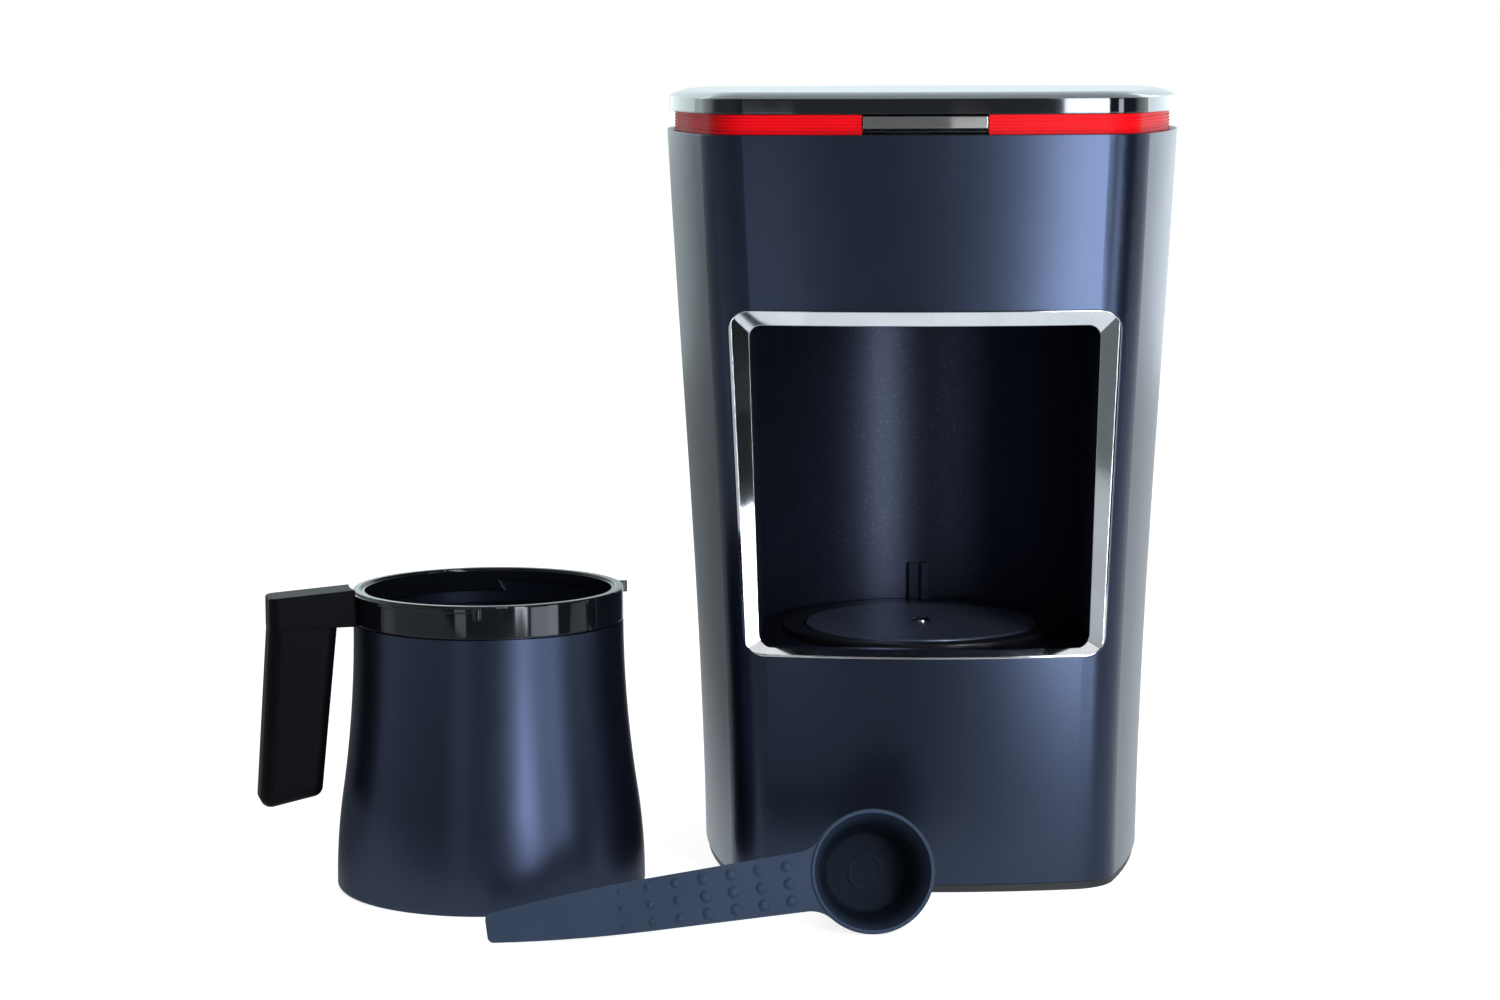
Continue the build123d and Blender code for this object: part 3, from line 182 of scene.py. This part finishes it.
def turned_rings_group():
    """Fine rings round an upright axis, as turning or spinning leaves them, with faint radial streaks."""
    wobbles_per_metre, wobble = 25.0, 0.0004
    sheet, given, out = new_group("Turned rings", [("Centre", (0.0, 0.0, 0.0), VECTOR),
                                                   ("Rings per metre", 900.0, NUMBER)],
                                  [("Rings", NUMBER), ("Streaks", NUMBER)])
    place = sheet.object_place()
    flat = sheet.vector("MULTIPLY", sheet.vector("SUBTRACT", place, given.outputs[0]), (1.0, 1.0, 0.0))
    drift = sheet.math("MULTIPLY", sheet.noise(place, wobbles_per_metre), wobble)
    radius = sheet.math("ADD", sheet.vector("LENGTH", flat), drift)
    along = sheet.add("ShaderNodeCombineXYZ", {0: radius}).outputs[0]
    sheet.put(out.inputs[0], sheet.noise(along, given.outputs[1]))
    streaks = sheet.noise(sheet.vector("NORMALIZE", flat), 34.0, 2.0, 0.6)
    sheet.put(out.inputs[1], sheet.spread(streaks, 0.55, 0.72))
    return sheet.tree


def level_grooves_group():
    """Where level grooves at an even pitch lie, as a mask over height."""
    sheet, given, out = new_group("Level grooves", [("Lowest", 0.0, NUMBER), ("Pitch", 0.001, NUMBER),
                                                    ("Half height", 0.3, NUMBER)], [("Grooves", NUMBER)])
    lowest, pitch, half_height = given.outputs[:3]
    height = sheet.along_axes(sheet.object_place())["Z"]
    steps = sheet.math("DIVIDE", sheet.math("SUBTRACT", height, lowest), pitch)
    off_middle = sheet.math("ABSOLUTE", sheet.math("SUBTRACT", steps, sheet.math("ROUND", steps)))
    floor_of_groove = sheet.math("MULTIPLY", half_height, 0.6)
    sheet.put(out.inputs[0], sheet.spread(off_middle, half_height, floor_of_groove))
    return sheet.tree


def place_group(sheet, name, **values):
    """Adds a shared group to a material; values are the group's inputs, in plain words."""
    if name not in groups:
        raise RuntimeError(f"Run Shared Effects first: the group {name} is missing")
    node = sheet.add("ShaderNodeGroup", node_tree=groups[name])
    for key, value in values.items():
        sheet.put(node.inputs[key.replace("_", " ").capitalize()], value)
    return node


# ------------------------------------------------------------------ finishes
PATCH_SIZE = 0.03
GRAIN_DEPTH = 0.00008
RING_DEPTH = 0.00003
# painted highlight colour: a paler copy of a colour, for painted glints on grains and painted highlights on
# edges
PAINTED_HIGHLIGHT_GAIN, PAINTED_HIGHLIGHT_LIFT = 1.6, 0.02
DUST = (0.45, 0.45, 0.46)
DUSTY_ROUGHNESS = 0.9
# painted shade in hollows: how far the occlusion looks, where it counts as closed and as open, how dark the
# painted shade makes the colour, and how rough the hollows get
CAVITY_REACH = 0.03
CAVITY_CLOSED, CAVITY_OPEN = 0.35, 0.9
CAVITY_PAINTED_SHADE = 0.25
CAVITY_ROUGHNESS = 0.75


def finish(name, colour, roughness, metallic=0.0, grain=0.0, grains=2600.0, dust=0.0, spread=0.04,
           edge=0.0004, painted_edge_highlight=0.0, uneven=0.06, tint=None, coat=0.0, coat_roughness=0.03, ior=1.5,
           painted_fleck_glint=0.0, cavity_painted_shade=0.0):
    """One material: plain settings on the shader, and grain, handling and edges from the shared groups.

    spread is how far the roughness strays, uneven how far the colour does, painted_fleck_glint how much
    painted glint the sparkling grains get, edge the radius of softened edges, painted_edge_highlight how
    much painted highlight lies on those edges, and cavity_painted_shade how much painted shade darkens the
    material, and how much duller it gets, where it closes round itself.
    """
    colour = tuple(colour)
    material = bpy.data.materials.new(name)
    material.use_nodes = True
    material.diffuse_color = opaque(colour)
    sheet = Sheet(material.node_tree)
    shader = material.node_tree.nodes["Principled BSDF"].inputs
    shader["Metallic"].default_value = metallic
    shader["IOR"].default_value = ior
    shader["Coat Weight"].default_value = coat
    shader["Coat Roughness"].default_value = coat_roughness
    if tint:
        shader["Specular Tint"].default_value = opaque(tint)
    marks = place_group(sheet, "Handling marks", patch_size=PATCH_SIZE, dust=dust).outputs
    edges = place_group(sheet, "Softened edges", radius=edge).outputs
    if grain or painted_fleck_glint:
        texture = place_group(sheet, "Moulded grain", grains_per_metre=grains).outputs
    # a paler copy of the colour, painted in as glints on grains and highlights on edges
    painted_highlight_colour = opaque([min(1.0, PAINTED_HIGHLIGHT_GAIN * value + PAINTED_HIGHLIGHT_LIFT) for value in colour])

    shade = sheet.blend(marks["Patches"], opaque(colour, 1 - uneven), opaque(colour, 1 + uneven))
    gloss = sheet.spread(marks["Patches"], 0.0, 1.0, roughness - spread / 2, roughness + spread / 2)
    # painted glint: the sparkling grains are painted in the paler copy of the colour
    if painted_fleck_glint:
        shade = sheet.blend(sheet.math("MULTIPLY", texture["Painted glint"], painted_fleck_glint), shade, painted_highlight_colour)
    # painted shade: where the occlusion finds the surface closing round itself, as in the scoop's bowl, the
    # colour is darkened to stand in for shade; the roughness is raised there too
    if cavity_painted_shade:
        closed = sheet.add("ShaderNodeAmbientOcclusion", {"Distance": CAVITY_REACH}, samples=8,
                           only_local=True)
        painted_shade_mask = sheet.spread(closed.outputs["AO"], CAVITY_CLOSED, CAVITY_OPEN, cavity_painted_shade, 0.0)
        shade = sheet.blend(painted_shade_mask, shade, opaque(colour, CAVITY_PAINTED_SHADE))
        gloss = sheet.math("MAXIMUM", gloss, sheet.math("MULTIPLY", painted_shade_mask, CAVITY_ROUGHNESS))
    # painted highlight: the softened edges get a paler copy of the colour, standing in for the light they
    # catch
    if painted_edge_highlight:
        shade = sheet.blend(sheet.math("MULTIPLY", edges["Edge mask"], painted_edge_highlight), shade, painted_highlight_colour)
    if dust:
        shade = sheet.blend(marks["Dust mask"], shade, opaque(DUST))
        dull = sheet.math("MULTIPLY", marks["Dust mask"], DUSTY_ROUGHNESS)
        gloss = sheet.math("MAXIMUM", gloss, dull)
    normal = edges["Normal"]
    if grain:
        bump = {"Strength": grain, "Distance": GRAIN_DEPTH, "Height": texture["Height"], "Normal": normal}
        normal = sheet.add("ShaderNodeBump", bump).outputs[0]
    sheet.put(shader["Base Color"], shade)
    sheet.put(shader["Roughness"], gloss)
    sheet.put(shader["Normal"], normal)
    return material


def go_on_with(material):
    """The sheet and the shader's inputs of a finished material, to add to it."""
    return Sheet(material.node_tree, column=AFTER_FINISH), material.node_tree.nodes["Principled BSDF"].inputs


def blend_over(sheet, shader, amount, colour):
    """Blends a colour over what already feeds the shader's base colour."""
    under = shader["Base Color"].links[0].from_socket
    sheet.put(shader["Base Color"], sheet.blend(amount, under, opaque(colour)))


def add_rings(material, centre, rings_per_metre, strength, streak_colour=None, streak=0.0):
    """Adds turned rings over a material's own bump, and radial streaks over its colour."""
    sheet, shader = go_on_with(material)
    turned = place_group(sheet, "Turned rings", centre=centre, rings_per_metre=rings_per_metre).outputs
    bump = {"Strength": strength, "Distance": RING_DEPTH, "Height": turned["Rings"],
            "Normal": shader["Normal"].links[0].from_socket}
    sheet.put(shader["Normal"], sheet.add("ShaderNodeBump", bump).outputs[0])
    if streak_colour:
        blend_over(sheet, shader, sheet.math("MULTIPLY", turned["Streaks"], streak), streak_colour)


def add_painted_groove_shade(material, low, high, count, shade, strength):
    """Paints shade into level grooves that share out the height from low to high."""
    sheet, shader = go_on_with(material)
    grooves = place_group(sheet, "Level grooves", lowest=low, pitch=(high - low) / (count + 1))
    # painted shade: the grooves' mask blends the colour towards a darker copy of it
    blend_over(sheet, shader, sheet.math("MULTIPLY", grooves.outputs[0], strength), shade)


def dress(material, *names):
    """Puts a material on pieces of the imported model, which show as they are."""
    for name in names:
        if name not in nodes:
            raise RuntimeError(f"The packed model has no piece named {name}")
        mesh = nodes[name].data
        mesh.materials.clear()
        mesh.materials.append(material)


# ------------------------------------------------------------------ settings that a user would change
class BodyFinish(bpy.types.PropertyGroup):
    paint: FloatVectorProperty(name="Body paint", description="Metallic anthracite of the housing", size=3,
                               subtype="COLOR", min=0, max=1, default=(0.033, 0.043, 0.073))
    roughness: FloatProperty(name="Body roughness", description="How satin the body's paint is", min=0,
                             max=1, subtype="FACTOR", default=0.28)
    band: FloatVectorProperty(name="Band", description="Plastic of the ribbed band", size=3,
                              subtype="COLOR", min=0, max=1, default=(0.95, 0.002, 0.008))
    ribs: IntProperty(name="Band grooves", description="How many level grooves run round the band",
                      subtype="UNSIGNED", min=0, default=5)
    lid: FloatVectorProperty(name="Lid", description="Gloss plastic of the lid", size=3,
                             subtype="COLOR", min=0, max=1, default=(0.004, 0.005, 0.007))
    chrome: FloatVectorProperty(name="Chrome", description="Plating of the window frame and the push bar",
                                size=3, subtype="COLOR", min=0, max=1, default=(0.80, 0.81, 0.83))
    bay: FloatVectorProperty(name="Bay", description="Textured plastic inside the brewing bay", size=3,
                             subtype="COLOR", min=0, max=1, default=(0.026, 0.031, 0.054))
    plate: FloatVectorProperty(name="Hot plate", description="Coating of the hot plate", size=3,
                               subtype="COLOR", min=0, max=1, default=(0.17, 0.205, 0.29))


class PotFinish(bpy.types.PropertyGroup):
    coating: FloatVectorProperty(name="Pot coating", description="Satin coating of the pot", size=3,
                                 subtype="COLOR", min=0, max=1, default=(0.041, 0.050, 0.083))
    collar: FloatVectorProperty(name="Collar", description="Gloss plastic of the pot's collar", size=3,
                                subtype="COLOR", min=0, max=1, default=(0.005, 0.006, 0.008))
    handle: FloatVectorProperty(name="Handle", description="Matt plastic of the handle", size=3,
                                subtype="COLOR", min=0, max=1, default=(0.003, 0.003, 0.004))


class ScoopFinish(bpy.types.PropertyGroup):
    plastic: FloatVectorProperty(name="Scoop plastic", description="Matt blue-grey plastic of the scoop",
                                 size=3, subtype="COLOR", min=0, max=1, default=(0.036, 0.054, 0.092))


class Studio(bpy.types.PropertyGroup):
    camera_place: FloatVectorProperty(name="Camera place", description="Where the camera stands", size=3,
                                      subtype="TRANSLATION", unit="LENGTH",
                                      default=(-0.019404, -1.241549, 0.277403))
    camera_turn: FloatVectorProperty(name="Camera turn", description="How the camera is turned", size=3,
                                     subtype="EULER", unit="ROTATION",
                                     default=(math.radians(82.742), math.radians(0.2), math.radians(1.763)))
    lens: FloatProperty(name="Lens", description="Focal length on a sensor 36 mm wide", unit="CAMERA",
                        default=88.374, min=10)
    ambient: FloatProperty(name="Ambient", description="Plain light from all round", subtype="UNSIGNED",
                           default=0.32, min=0)
    key: FloatProperty(name="Key light", description="Brightness of the tall soft light at the right",
                       subtype="UNSIGNED", default=15.0, min=0)
    panel: FloatProperty(name="Front panel", description="Brightness of the wide dim panel in front",
                         subtype="UNSIGNED", default=0.11, min=0)
    fill: FloatProperty(name="Fill light", description="Brightness of the soft light at the left",
                        subtype="UNSIGNED", default=2.0, min=0)
    card: FloatProperty(name="Small card", description="Brightness of the card that the push bar mirrors",
                        subtype="UNSIGNED", default=0.4, min=0)
    rear: FloatProperty(name="Rear lights", description="Brightness of the lights that graze the flanks",
                        subtype="UNSIGNED", default=0.85, min=0)
    overhead: FloatProperty(name="Overhead light", description="Brightness of the light above",
                            subtype="UNSIGNED", default=1.0, min=0)


# ------------------------------------------------------------------ operators
class COFFEE_OT_shared_effects(bpy.types.Operator):
    """Build the shader groups that the materials share"""

    bl_idname = "coffee.shared_effects"
    bl_label = "Shared Effects"

    def execute(self, context):
        for build in (moulded_grain_group, handling_group, softened_edges_group, turned_rings_group,
                      level_grooves_group):
            group = build()
            groups[group.name] = group
        return {"FINISHED"}


class COFFEE_OT_housing(bpy.types.Operator):
    """Finish the housing, its rear cover, base, feet and cord gland"""

    bl_idname = "coffee.housing"
    bl_label = "Housing and Base"

    def execute(self, context):
        look = context.scene.coffee_body
        paint = finish("Metallic anthracite paint", look.paint, look.roughness, metallic=0.9, grain=0.05,
                       grains=3200.0, dust=0.03, spread=0.01, painted_fleck_glint=0.08, edge=0.0006, uneven=0.02,
                       coat=0.1, coat_roughness=0.28)
        dress(paint, "outer_housing", "rear_cover")
        black = finish("Matt black base plastic", (0.012, 0.012, 0.013), 0.55, grain=0.25, grains=1800.0,
                       dust=0.1)
        dress(black, "base_plate", "cord_gland")
        rubber = finish("Foot rubber", (0.02, 0.02, 0.02), 0.8, grain=0.3, grains=1200.0, dust=0.3)
        dress(rubber, "foot_front_left", "foot_front_right", "foot_rear_left", "foot_rear_right")
        return {"FINISHED"}


class COFFEE_OT_window_frame(bpy.types.Operator):
    """Plate the window frame and the push bar with chrome"""

    bl_idname = "coffee.window_frame"
    bl_label = "Chrome Frame and Push Bar"

    def execute(self, context):
        look = context.scene.coffee_body
        plating = finish("Chrome plating", look.chrome, 0.05, metallic=1.0, dust=0.02, spread=0.03)
        dress(plating, "window_frame", "power_button")
        return {"FINISHED"}


class COFFEE_OT_brewing_bay(bpy.types.Operator):
    """Finish the bay's wall, floor, ceiling and foam sensor"""

    bl_idname = "coffee.brewing_bay"
    bl_label = "Brewing Bay"

    def execute(self, context):
        look = context.scene.coffee_body
        wall = finish("Grained bay plastic", look.bay, 0.40, grain=0.30, grains=1500.0, metallic=0.7,
                      painted_fleck_glint=0.5, spread=0.02, dust=0.01)
        dress(wall, "bay_wall", "bay_ceiling")
        gloss = finish("Gloss black floor", (0.004, 0.004, 0.006), 0.08, dust=0.03, spread=0.05,
                       edge=0.0005, ior=1.25)
        dress(gloss, "bay_floor")
        smoked = finish("Smoked sensor window", (0.03, 0.005, 0.006), 0.05)
        dress(smoked, "foam_sensor_lens")
        return {"FINISHED"}


class COFFEE_OT_hot_plate(bpy.types.Operator):
    """Finish the hot plate, its ring, the sensor's tip and the other bright steel"""

    bl_idname = "coffee.hot_plate"
    bl_label = "Hot Plate"

    def execute(self, context):
        look = context.scene.coffee_body
        coated = finish("Coated plate", look.plate, 0.34, metallic=0.7, spread=0.08, grain=0.1, edge=0.0006)
        add_rings(coated, centre=(0.0, 0.0, 0.0), rings_per_metre=700.0, strength=0.5,
                  streak_colour=(0.16, 0.17, 0.19), streak=0.7)
        dress(coated, "hot_plate")
        ring = finish("Satin ring plastic", (0.012, 0.012, 0.014), 0.24, grain=0.1, dust=0.05, edge=0.0005)
        dress(ring, "plate_ring")
        steel = finish("Polished steel", (0.62, 0.62, 0.63), 0.2, metallic=1.0, spread=0.08)
        dress(steel, "sensor_pin", "sensor_spring", "button_springs", "thermal_fuse", "frame_screws",
              "base_screws", "floor_screws", "handle_screw")
        return {"FINISHED"}


class COFFEE_OT_top(bpy.types.Operator):
    """Finish the lid, the ribbed band and the frame under them"""

    bl_idname = "coffee.top"
    bl_label = "Lid and Band"

    def execute(self, context):
        look = context.scene.coffee_body
        lid = finish("Gloss lid plastic", look.lid, 0.05, dust=0.03, spread=0.03, edge=0.0008, coat=0.6,
                     ior=1.65)
        dress(lid, "lid")
        band = finish("Ribbed band plastic", look.band, 0.45, spread=0.05, edge=0.0002, ior=1.2)
        low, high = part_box("red_band")
        # painted shade in the band's grooves: a darker copy of the band's colour
        add_painted_groove_shade(band, low.z, high.z, look.ribs, shade=[0.35 * value for value in look.band], strength=0.4)
        dress(band, "red_band")
        tray = finish("Satin tray plastic", (0.02, 0.02, 0.022), 0.45, grain=0.2)
        dress(tray, "top_frame")
        return {"FINISHED"}


class COFFEE_OT_works(bpy.types.Operator):
    """Finish the heater, the boards, the wires and the other parts inside"""

    bl_idname = "coffee.works"
    bl_label = "Working Parts"

    def execute(self, context):
        moulded = finish("Moulded component plastic", (0.03, 0.03, 0.032), 0.5, grain=0.2)
        dress(moulded, "foam_sensor", "thermostat", "micro_switch", "buzzer", "relay")
        board = finish("Circuit board mask", (0.02, 0.12, 0.05), 0.35, spread=0.1)
        dress(board, "control_board", "power_board")
        sheath = finish("Heat-darkened sheath", (0.35, 0.33, 0.31), 0.4, metallic=1.0, spread=0.2)
        dress(sheath, "heating_element")
        pressed = finish("Pressed aluminium", (0.7, 0.7, 0.71), 0.35, metallic=1.0, spread=0.1)
        dress(pressed, "heat_shield", "sensor_guide")
        dress(finish("Terminal plastic", (0.72, 0.71, 0.66), 0.5, grain=0.2), "terminal_block")
        dress(finish("Wire sleeve", (0.02, 0.02, 0.022), 0.6, grain=0.2), "wire_harness")
        dress(finish("Switch plunger plastic", (0.5, 0.02, 0.03), 0.4), "switch_plunger")
        return {"FINISHED"}


class COFFEE_OT_pot(bpy.types.Operator):
    """Finish the pot, its collar and its handle"""

    bl_idname = "coffee.pot"
    bl_label = "Coffee Pot"

    def execute(self, context):
        look = context.scene.coffee_pot
        low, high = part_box("pot_body")
        axis = ((low.x + high.x) / 2, (low.y + high.y) / 2, 0.0)
        coating = finish("Satin pot coating", look.coating, 0.33, metallic=0.9, grain=0.04, grains=3000.0,
                         painted_fleck_glint=0.06, spread=0.02, dust=0.03, uneven=0.025, tint=(0.5, 0.5, 0.5))
        add_rings(coating, centre=axis, rings_per_metre=350.0, strength=0.06)
        dress(coating, "pot_body")
        collar = finish("Gloss collar plastic", look.collar, 0.06, spread=0.03, edge=0.0005, dust=0.02,
                        ior=1.42)
        dress(collar, "pot_collar", "pour_skirt")
        handle = finish("Matt handle plastic", look.handle, 0.46, grain=0.15, grains=2200.0, dust=0.02,
                        edge=0.0006, ior=1.15)
        dress(handle, "handle_arm", "handle_grip")
        return {"FINISHED"}


class COFFEE_OT_scoop(bpy.types.Operator):
    """Finish the measuring scoop"""

    bl_idname = "coffee.scoop"
    bl_label = "Measuring Scoop"

    def execute(self, context):
        look = context.scene.coffee_scoop
        # the scoop's bowl gets painted shade in its hollow, and its edges a painted highlight
        plastic = finish("Matt scoop plastic", look.plastic, 0.42, grain=0.15, grains=2400.0, dust=0.03,
                         painted_edge_highlight=0.3, ior=1.22, cavity_painted_shade=1.0)
        dress(plastic, "measuring_scoop")
        return {"FINISHED"}


# ------------------------------------------------------------------ stage
WHITE = (1.0, 1.0, 1.0)
COOL = (0.82, 0.90, 1.0)
# Each lamp: azimuth in degrees from -Y towards +X, distance, width, lower and upper end in metres,
# colour, the setting that holds its brightness, and its share of that setting
STANDING_LAMPS = {
    "Key light": (25.0, 1.1, 0.20, -0.45, 1.0, COOL, "key", 1.0),
    "Side light": (38.0, 0.73, 0.22, -0.45, 0.052, COOL, "key", 0.30),
    "Pot light": (50.8, 0.7, 0.12, -0.45, 0.25, COOL, "key", 0.34),
    "Fill light": (-21.0, 2.0, 0.3, -0.9, 0.2, COOL, "fill", 1.0),
    "Front panel": (-4.0, 1.9, 1.5, -0.9, 1.3, WHITE, "panel", 1.0),
    "Small card": (6.8, 1.9, 0.16, 0.1, 0.21, WHITE, "card", 1.0),
    "Right rear light": (154.0, 1.6, 0.8, 0.0, 1.0, (0.84, 0.93, 1.05), "rear", 1.0),
    "Left rear light": (-156.0, 1.6, 0.7, 0.0, 1.0, (0.84, 1.0, 0.98), "rear", 0.5),
}
OVERHEAD_HEIGHT, OVERHEAD_SIZE = 1.5, 0.9
# The floor's front edge steps back to the right, since the upright faces mirror what lies ahead of them
FLOOR_OUTLINE = ((-0.5, -0.62), (0.22, -0.62), (0.22, -0.2), (0.7, -0.2), (0.7, -0.112), (6.0, -0.112),
                 (6.0, 6.0), (-6.0, 6.0), (-6.0, -1.1), (-0.5, -1.1))
FLOOR_PAPER = (0.8, 0.8, 0.8)
FLOOR_GLOW = 0.82
FLOOR_MIRRORED = (0.88, 0.96, 1.0)
ROOM_MIRRORED = (0.80, 0.92, 0.95)
SENSOR_WIDTH = 36.0
CLIP_START = 0.05


class COFFEE_OT_stage(bpy.types.Operator):
    """Build the floor, the studio light and the camera"""

    bl_idname = "coffee.stage"
    bl_label = "Stage"

    def execute(self, context):
        look = context.scene.coffee_studio
        self.build_floor(context.scene)
        self.build_world(context.scene, look.ambient)
        for name, (azimuth, distance, width, low, high, colour, setting, share) in STANDING_LAMPS.items():
            turn = math.radians(azimuth)
            way = Vector((-math.sin(turn), math.cos(turn), 0))
            place = -way * distance + Vector((0, 0, (low + high) / 2))
            self.add_lamp(context.scene, name, width, high - low, getattr(look, setting) * share, colour,
                          place, way)
        self.add_lamp(context.scene, "Overhead light", OVERHEAD_SIZE, OVERHEAD_SIZE, look.overhead, WHITE,
                      Vector((0, 0, OVERHEAD_HEIGHT)), Vector((0, 0, -1)))
        self.stand_camera(context.scene, look)
        context.scene.view_settings.view_transform = "Standard"
        return {"FINISHED"}

    def stand_camera(self, scene, look):
        camera = bpy.data.objects.new("Camera", bpy.data.cameras.new("Camera"))
        scene.collection.objects.link(camera)
        camera.location = look.camera_place
        camera.rotation_euler = look.camera_turn
        camera.data.lens = look.lens
        camera.data.sensor_width = SENSOR_WIDTH
        camera.data.clip_start = CLIP_START
        scene.camera = camera

    def add_lamp(self, scene, name, width, height, radiance, colour, place, way):
        """A soft rectangular lamp that the camera doesn't see; radiance is what a mirror shows of it."""
        lamp = bpy.data.lights.new(name, "AREA")
        lamp.shape = "RECTANGLE"
        lamp.size, lamp.size_y = width, height
        lamp.energy = radiance * math.pi * width * height
        lamp.color = colour
        lamp_object = bpy.data.objects.new(name, lamp)
        lamp_object.location = place
        lamp_object.rotation_euler = way.to_track_quat("-Z", "Y").to_euler()
        lamp_object.visible_camera = False
        scene.collection.objects.link(lamp_object)

    def build_floor(self, scene):
        mesh = bpy.data.meshes.new("floor")
        mesh.from_pydata([(x, y, 0) for x, y in FLOOR_OUTLINE], [], [range(len(FLOOR_OUTLINE))])
        floor = bpy.data.objects.new("floor", mesh)
        scene.collection.objects.link(floor)
        mesh.materials.append(self.floor_material())

    def floor_material(self):
        """White paper for the camera that keeps the shadows; mirrors see it dimmer at some places."""
        material = bpy.data.materials.new("White floor")
        material.use_nodes = True
        material.node_tree.nodes.clear()
        sheet = Sheet(material.node_tree)
        out = sheet.add("ShaderNodeOutputMaterial")
        path = sheet.add("ShaderNodeLightPath").outputs
        mirrored = sheet.math("MAXIMUM", path["Is Glossy Ray"], path["Is Transmission Ray"])
        # how bright mirrors see the floor: from left to right ahead of the machine and behind it, and
        # then from front to back
        place = sheet.along_axes(sheet.object_place())
        at_left = sheet.spread(place["X"], -0.5, -0.25, 0.55, 0.3)
        in_front = sheet.spread(place["X"], 0.0, 0.2, at_left, 0.8)
        at_back = sheet.spread(place["X"], -0.25, 0.0, 0.33, 1.0)
        close_by = sheet.spread(place["Y"], -0.205, -0.155, in_front, 0.9)
        level = sheet.spread(place["Y"], -0.10, 0.0, close_by, at_back)
        strength = sheet.math("MULTIPLY_ADD", path["Is Camera Ray"], FLOOR_GLOW,
                              sheet.math("MULTIPLY", mirrored, level))
        hue = sheet.blend(mirrored, opaque(WHITE), opaque(FLOOR_MIRRORED))
        glow = sheet.add("ShaderNodeEmission", {"Color": hue, "Strength": strength})
        paper = sheet.add("ShaderNodeBsdfDiffuse", {"Color": opaque(FLOOR_PAPER)})
        nothing = sheet.add("ShaderNodeEmission", {"Strength": 0.0})
        lit = sheet.add("ShaderNodeMixShader", {0: path["Is Glossy Ray"], 1: paper.outputs[0],
                                                2: nothing.outputs[0]})
        both = sheet.add("ShaderNodeAddShader", {0: lit.outputs[0], 1: glow.outputs[0]})
        sheet.put(out.inputs["Surface"], both.outputs[0])
        return material

    def build_world(self, scene, ambient):
        """White for the camera; mirrors see white behind the machine and a dim room ahead of it."""
        world = bpy.data.worlds.new("Studio")
        scene.world = world
        world.use_nodes = True
        world.node_tree.nodes.clear()
        sheet = Sheet(world.node_tree)
        out = sheet.add("ShaderNodeOutputWorld")
        path = sheet.add("ShaderNodeLightPath").outputs
        way = sheet.along_axes(sheet.add("ShaderNodeTexCoord").outputs["Generated"])
        ahead = sheet.spread(way["X"], -0.75, -0.35, 0.2, 0.02)
        behind = sheet.spread(way["Y"], -0.1, 0.35, ahead, 1.0)
        mirrored = sheet.math("MAXIMUM", path["Is Glossy Ray"], path["Is Transmission Ray"])
        seen = sheet.math("MAXIMUM", path["Is Camera Ray"], sheet.math("MULTIPLY", mirrored, behind))
        other = sheet.math("SUBTRACT", 1.0, sheet.math("MAXIMUM", path["Is Camera Ray"], mirrored))
        strength = sheet.math("ADD", seen, sheet.math("MULTIPLY", ambient, other))
        hue = sheet.blend(mirrored, opaque(WHITE), opaque(ROOM_MIRRORED))
        background = sheet.add("ShaderNodeBackground", {"Color": hue, "Strength": strength})
        sheet.put(out.inputs["Surface"], background.outputs[0])


# ------------------------------------------------------------------ panel and registration
class COFFEE_PT_sidebar(bpy.types.Panel):
    """Lists the settings and the steps that dress the coffee maker"""

    bl_idname = "COFFEE_PT_sidebar"
    bl_label = "Coffee Maker"
    bl_space_type = "VIEW_3D"
    bl_region_type = "UI"
    bl_category = "Coffee Maker"

    def draw(self, context):
        for settings in SETTINGS:
            values = getattr(context.scene, settings)
            box = self.layout.box()
            for key in values.bl_rna.properties.keys():
                if key not in ("rna_type", "name"):
                    box.prop(values, key)
        for step in STEPS:
            self.layout.operator(step.bl_idname)


SETTINGS = {"coffee_body": BodyFinish, "coffee_pot": PotFinish, "coffee_scoop": ScoopFinish,
            "coffee_studio": Studio}
STEPS = (COFFEE_OT_shared_effects, COFFEE_OT_stage, COFFEE_OT_housing, COFFEE_OT_window_frame,
         COFFEE_OT_brewing_bay, COFFEE_OT_hot_plate, COFFEE_OT_top, COFFEE_OT_works, COFFEE_OT_pot,
         COFFEE_OT_scoop)
KINDS = (*SETTINGS.values(), *STEPS, COFFEE_PT_sidebar)


def register():
    for kind in KINDS:
        bpy.utils.register_class(kind)
    for name, kind in SETTINGS.items():
        setattr(bpy.types.Scene, name, PointerProperty(type=kind))


def unregister():
    for name in SETTINGS:
        delattr(bpy.types.Scene, name)
    for kind in reversed(KINDS):
        bpy.utils.unregister_class(kind)


def main():
    register()
    for step in STEPS:
        group, name = step.bl_idname.split(".")
        getattr(getattr(bpy.ops, group), name)()


if __name__ == "__main__":
    main()
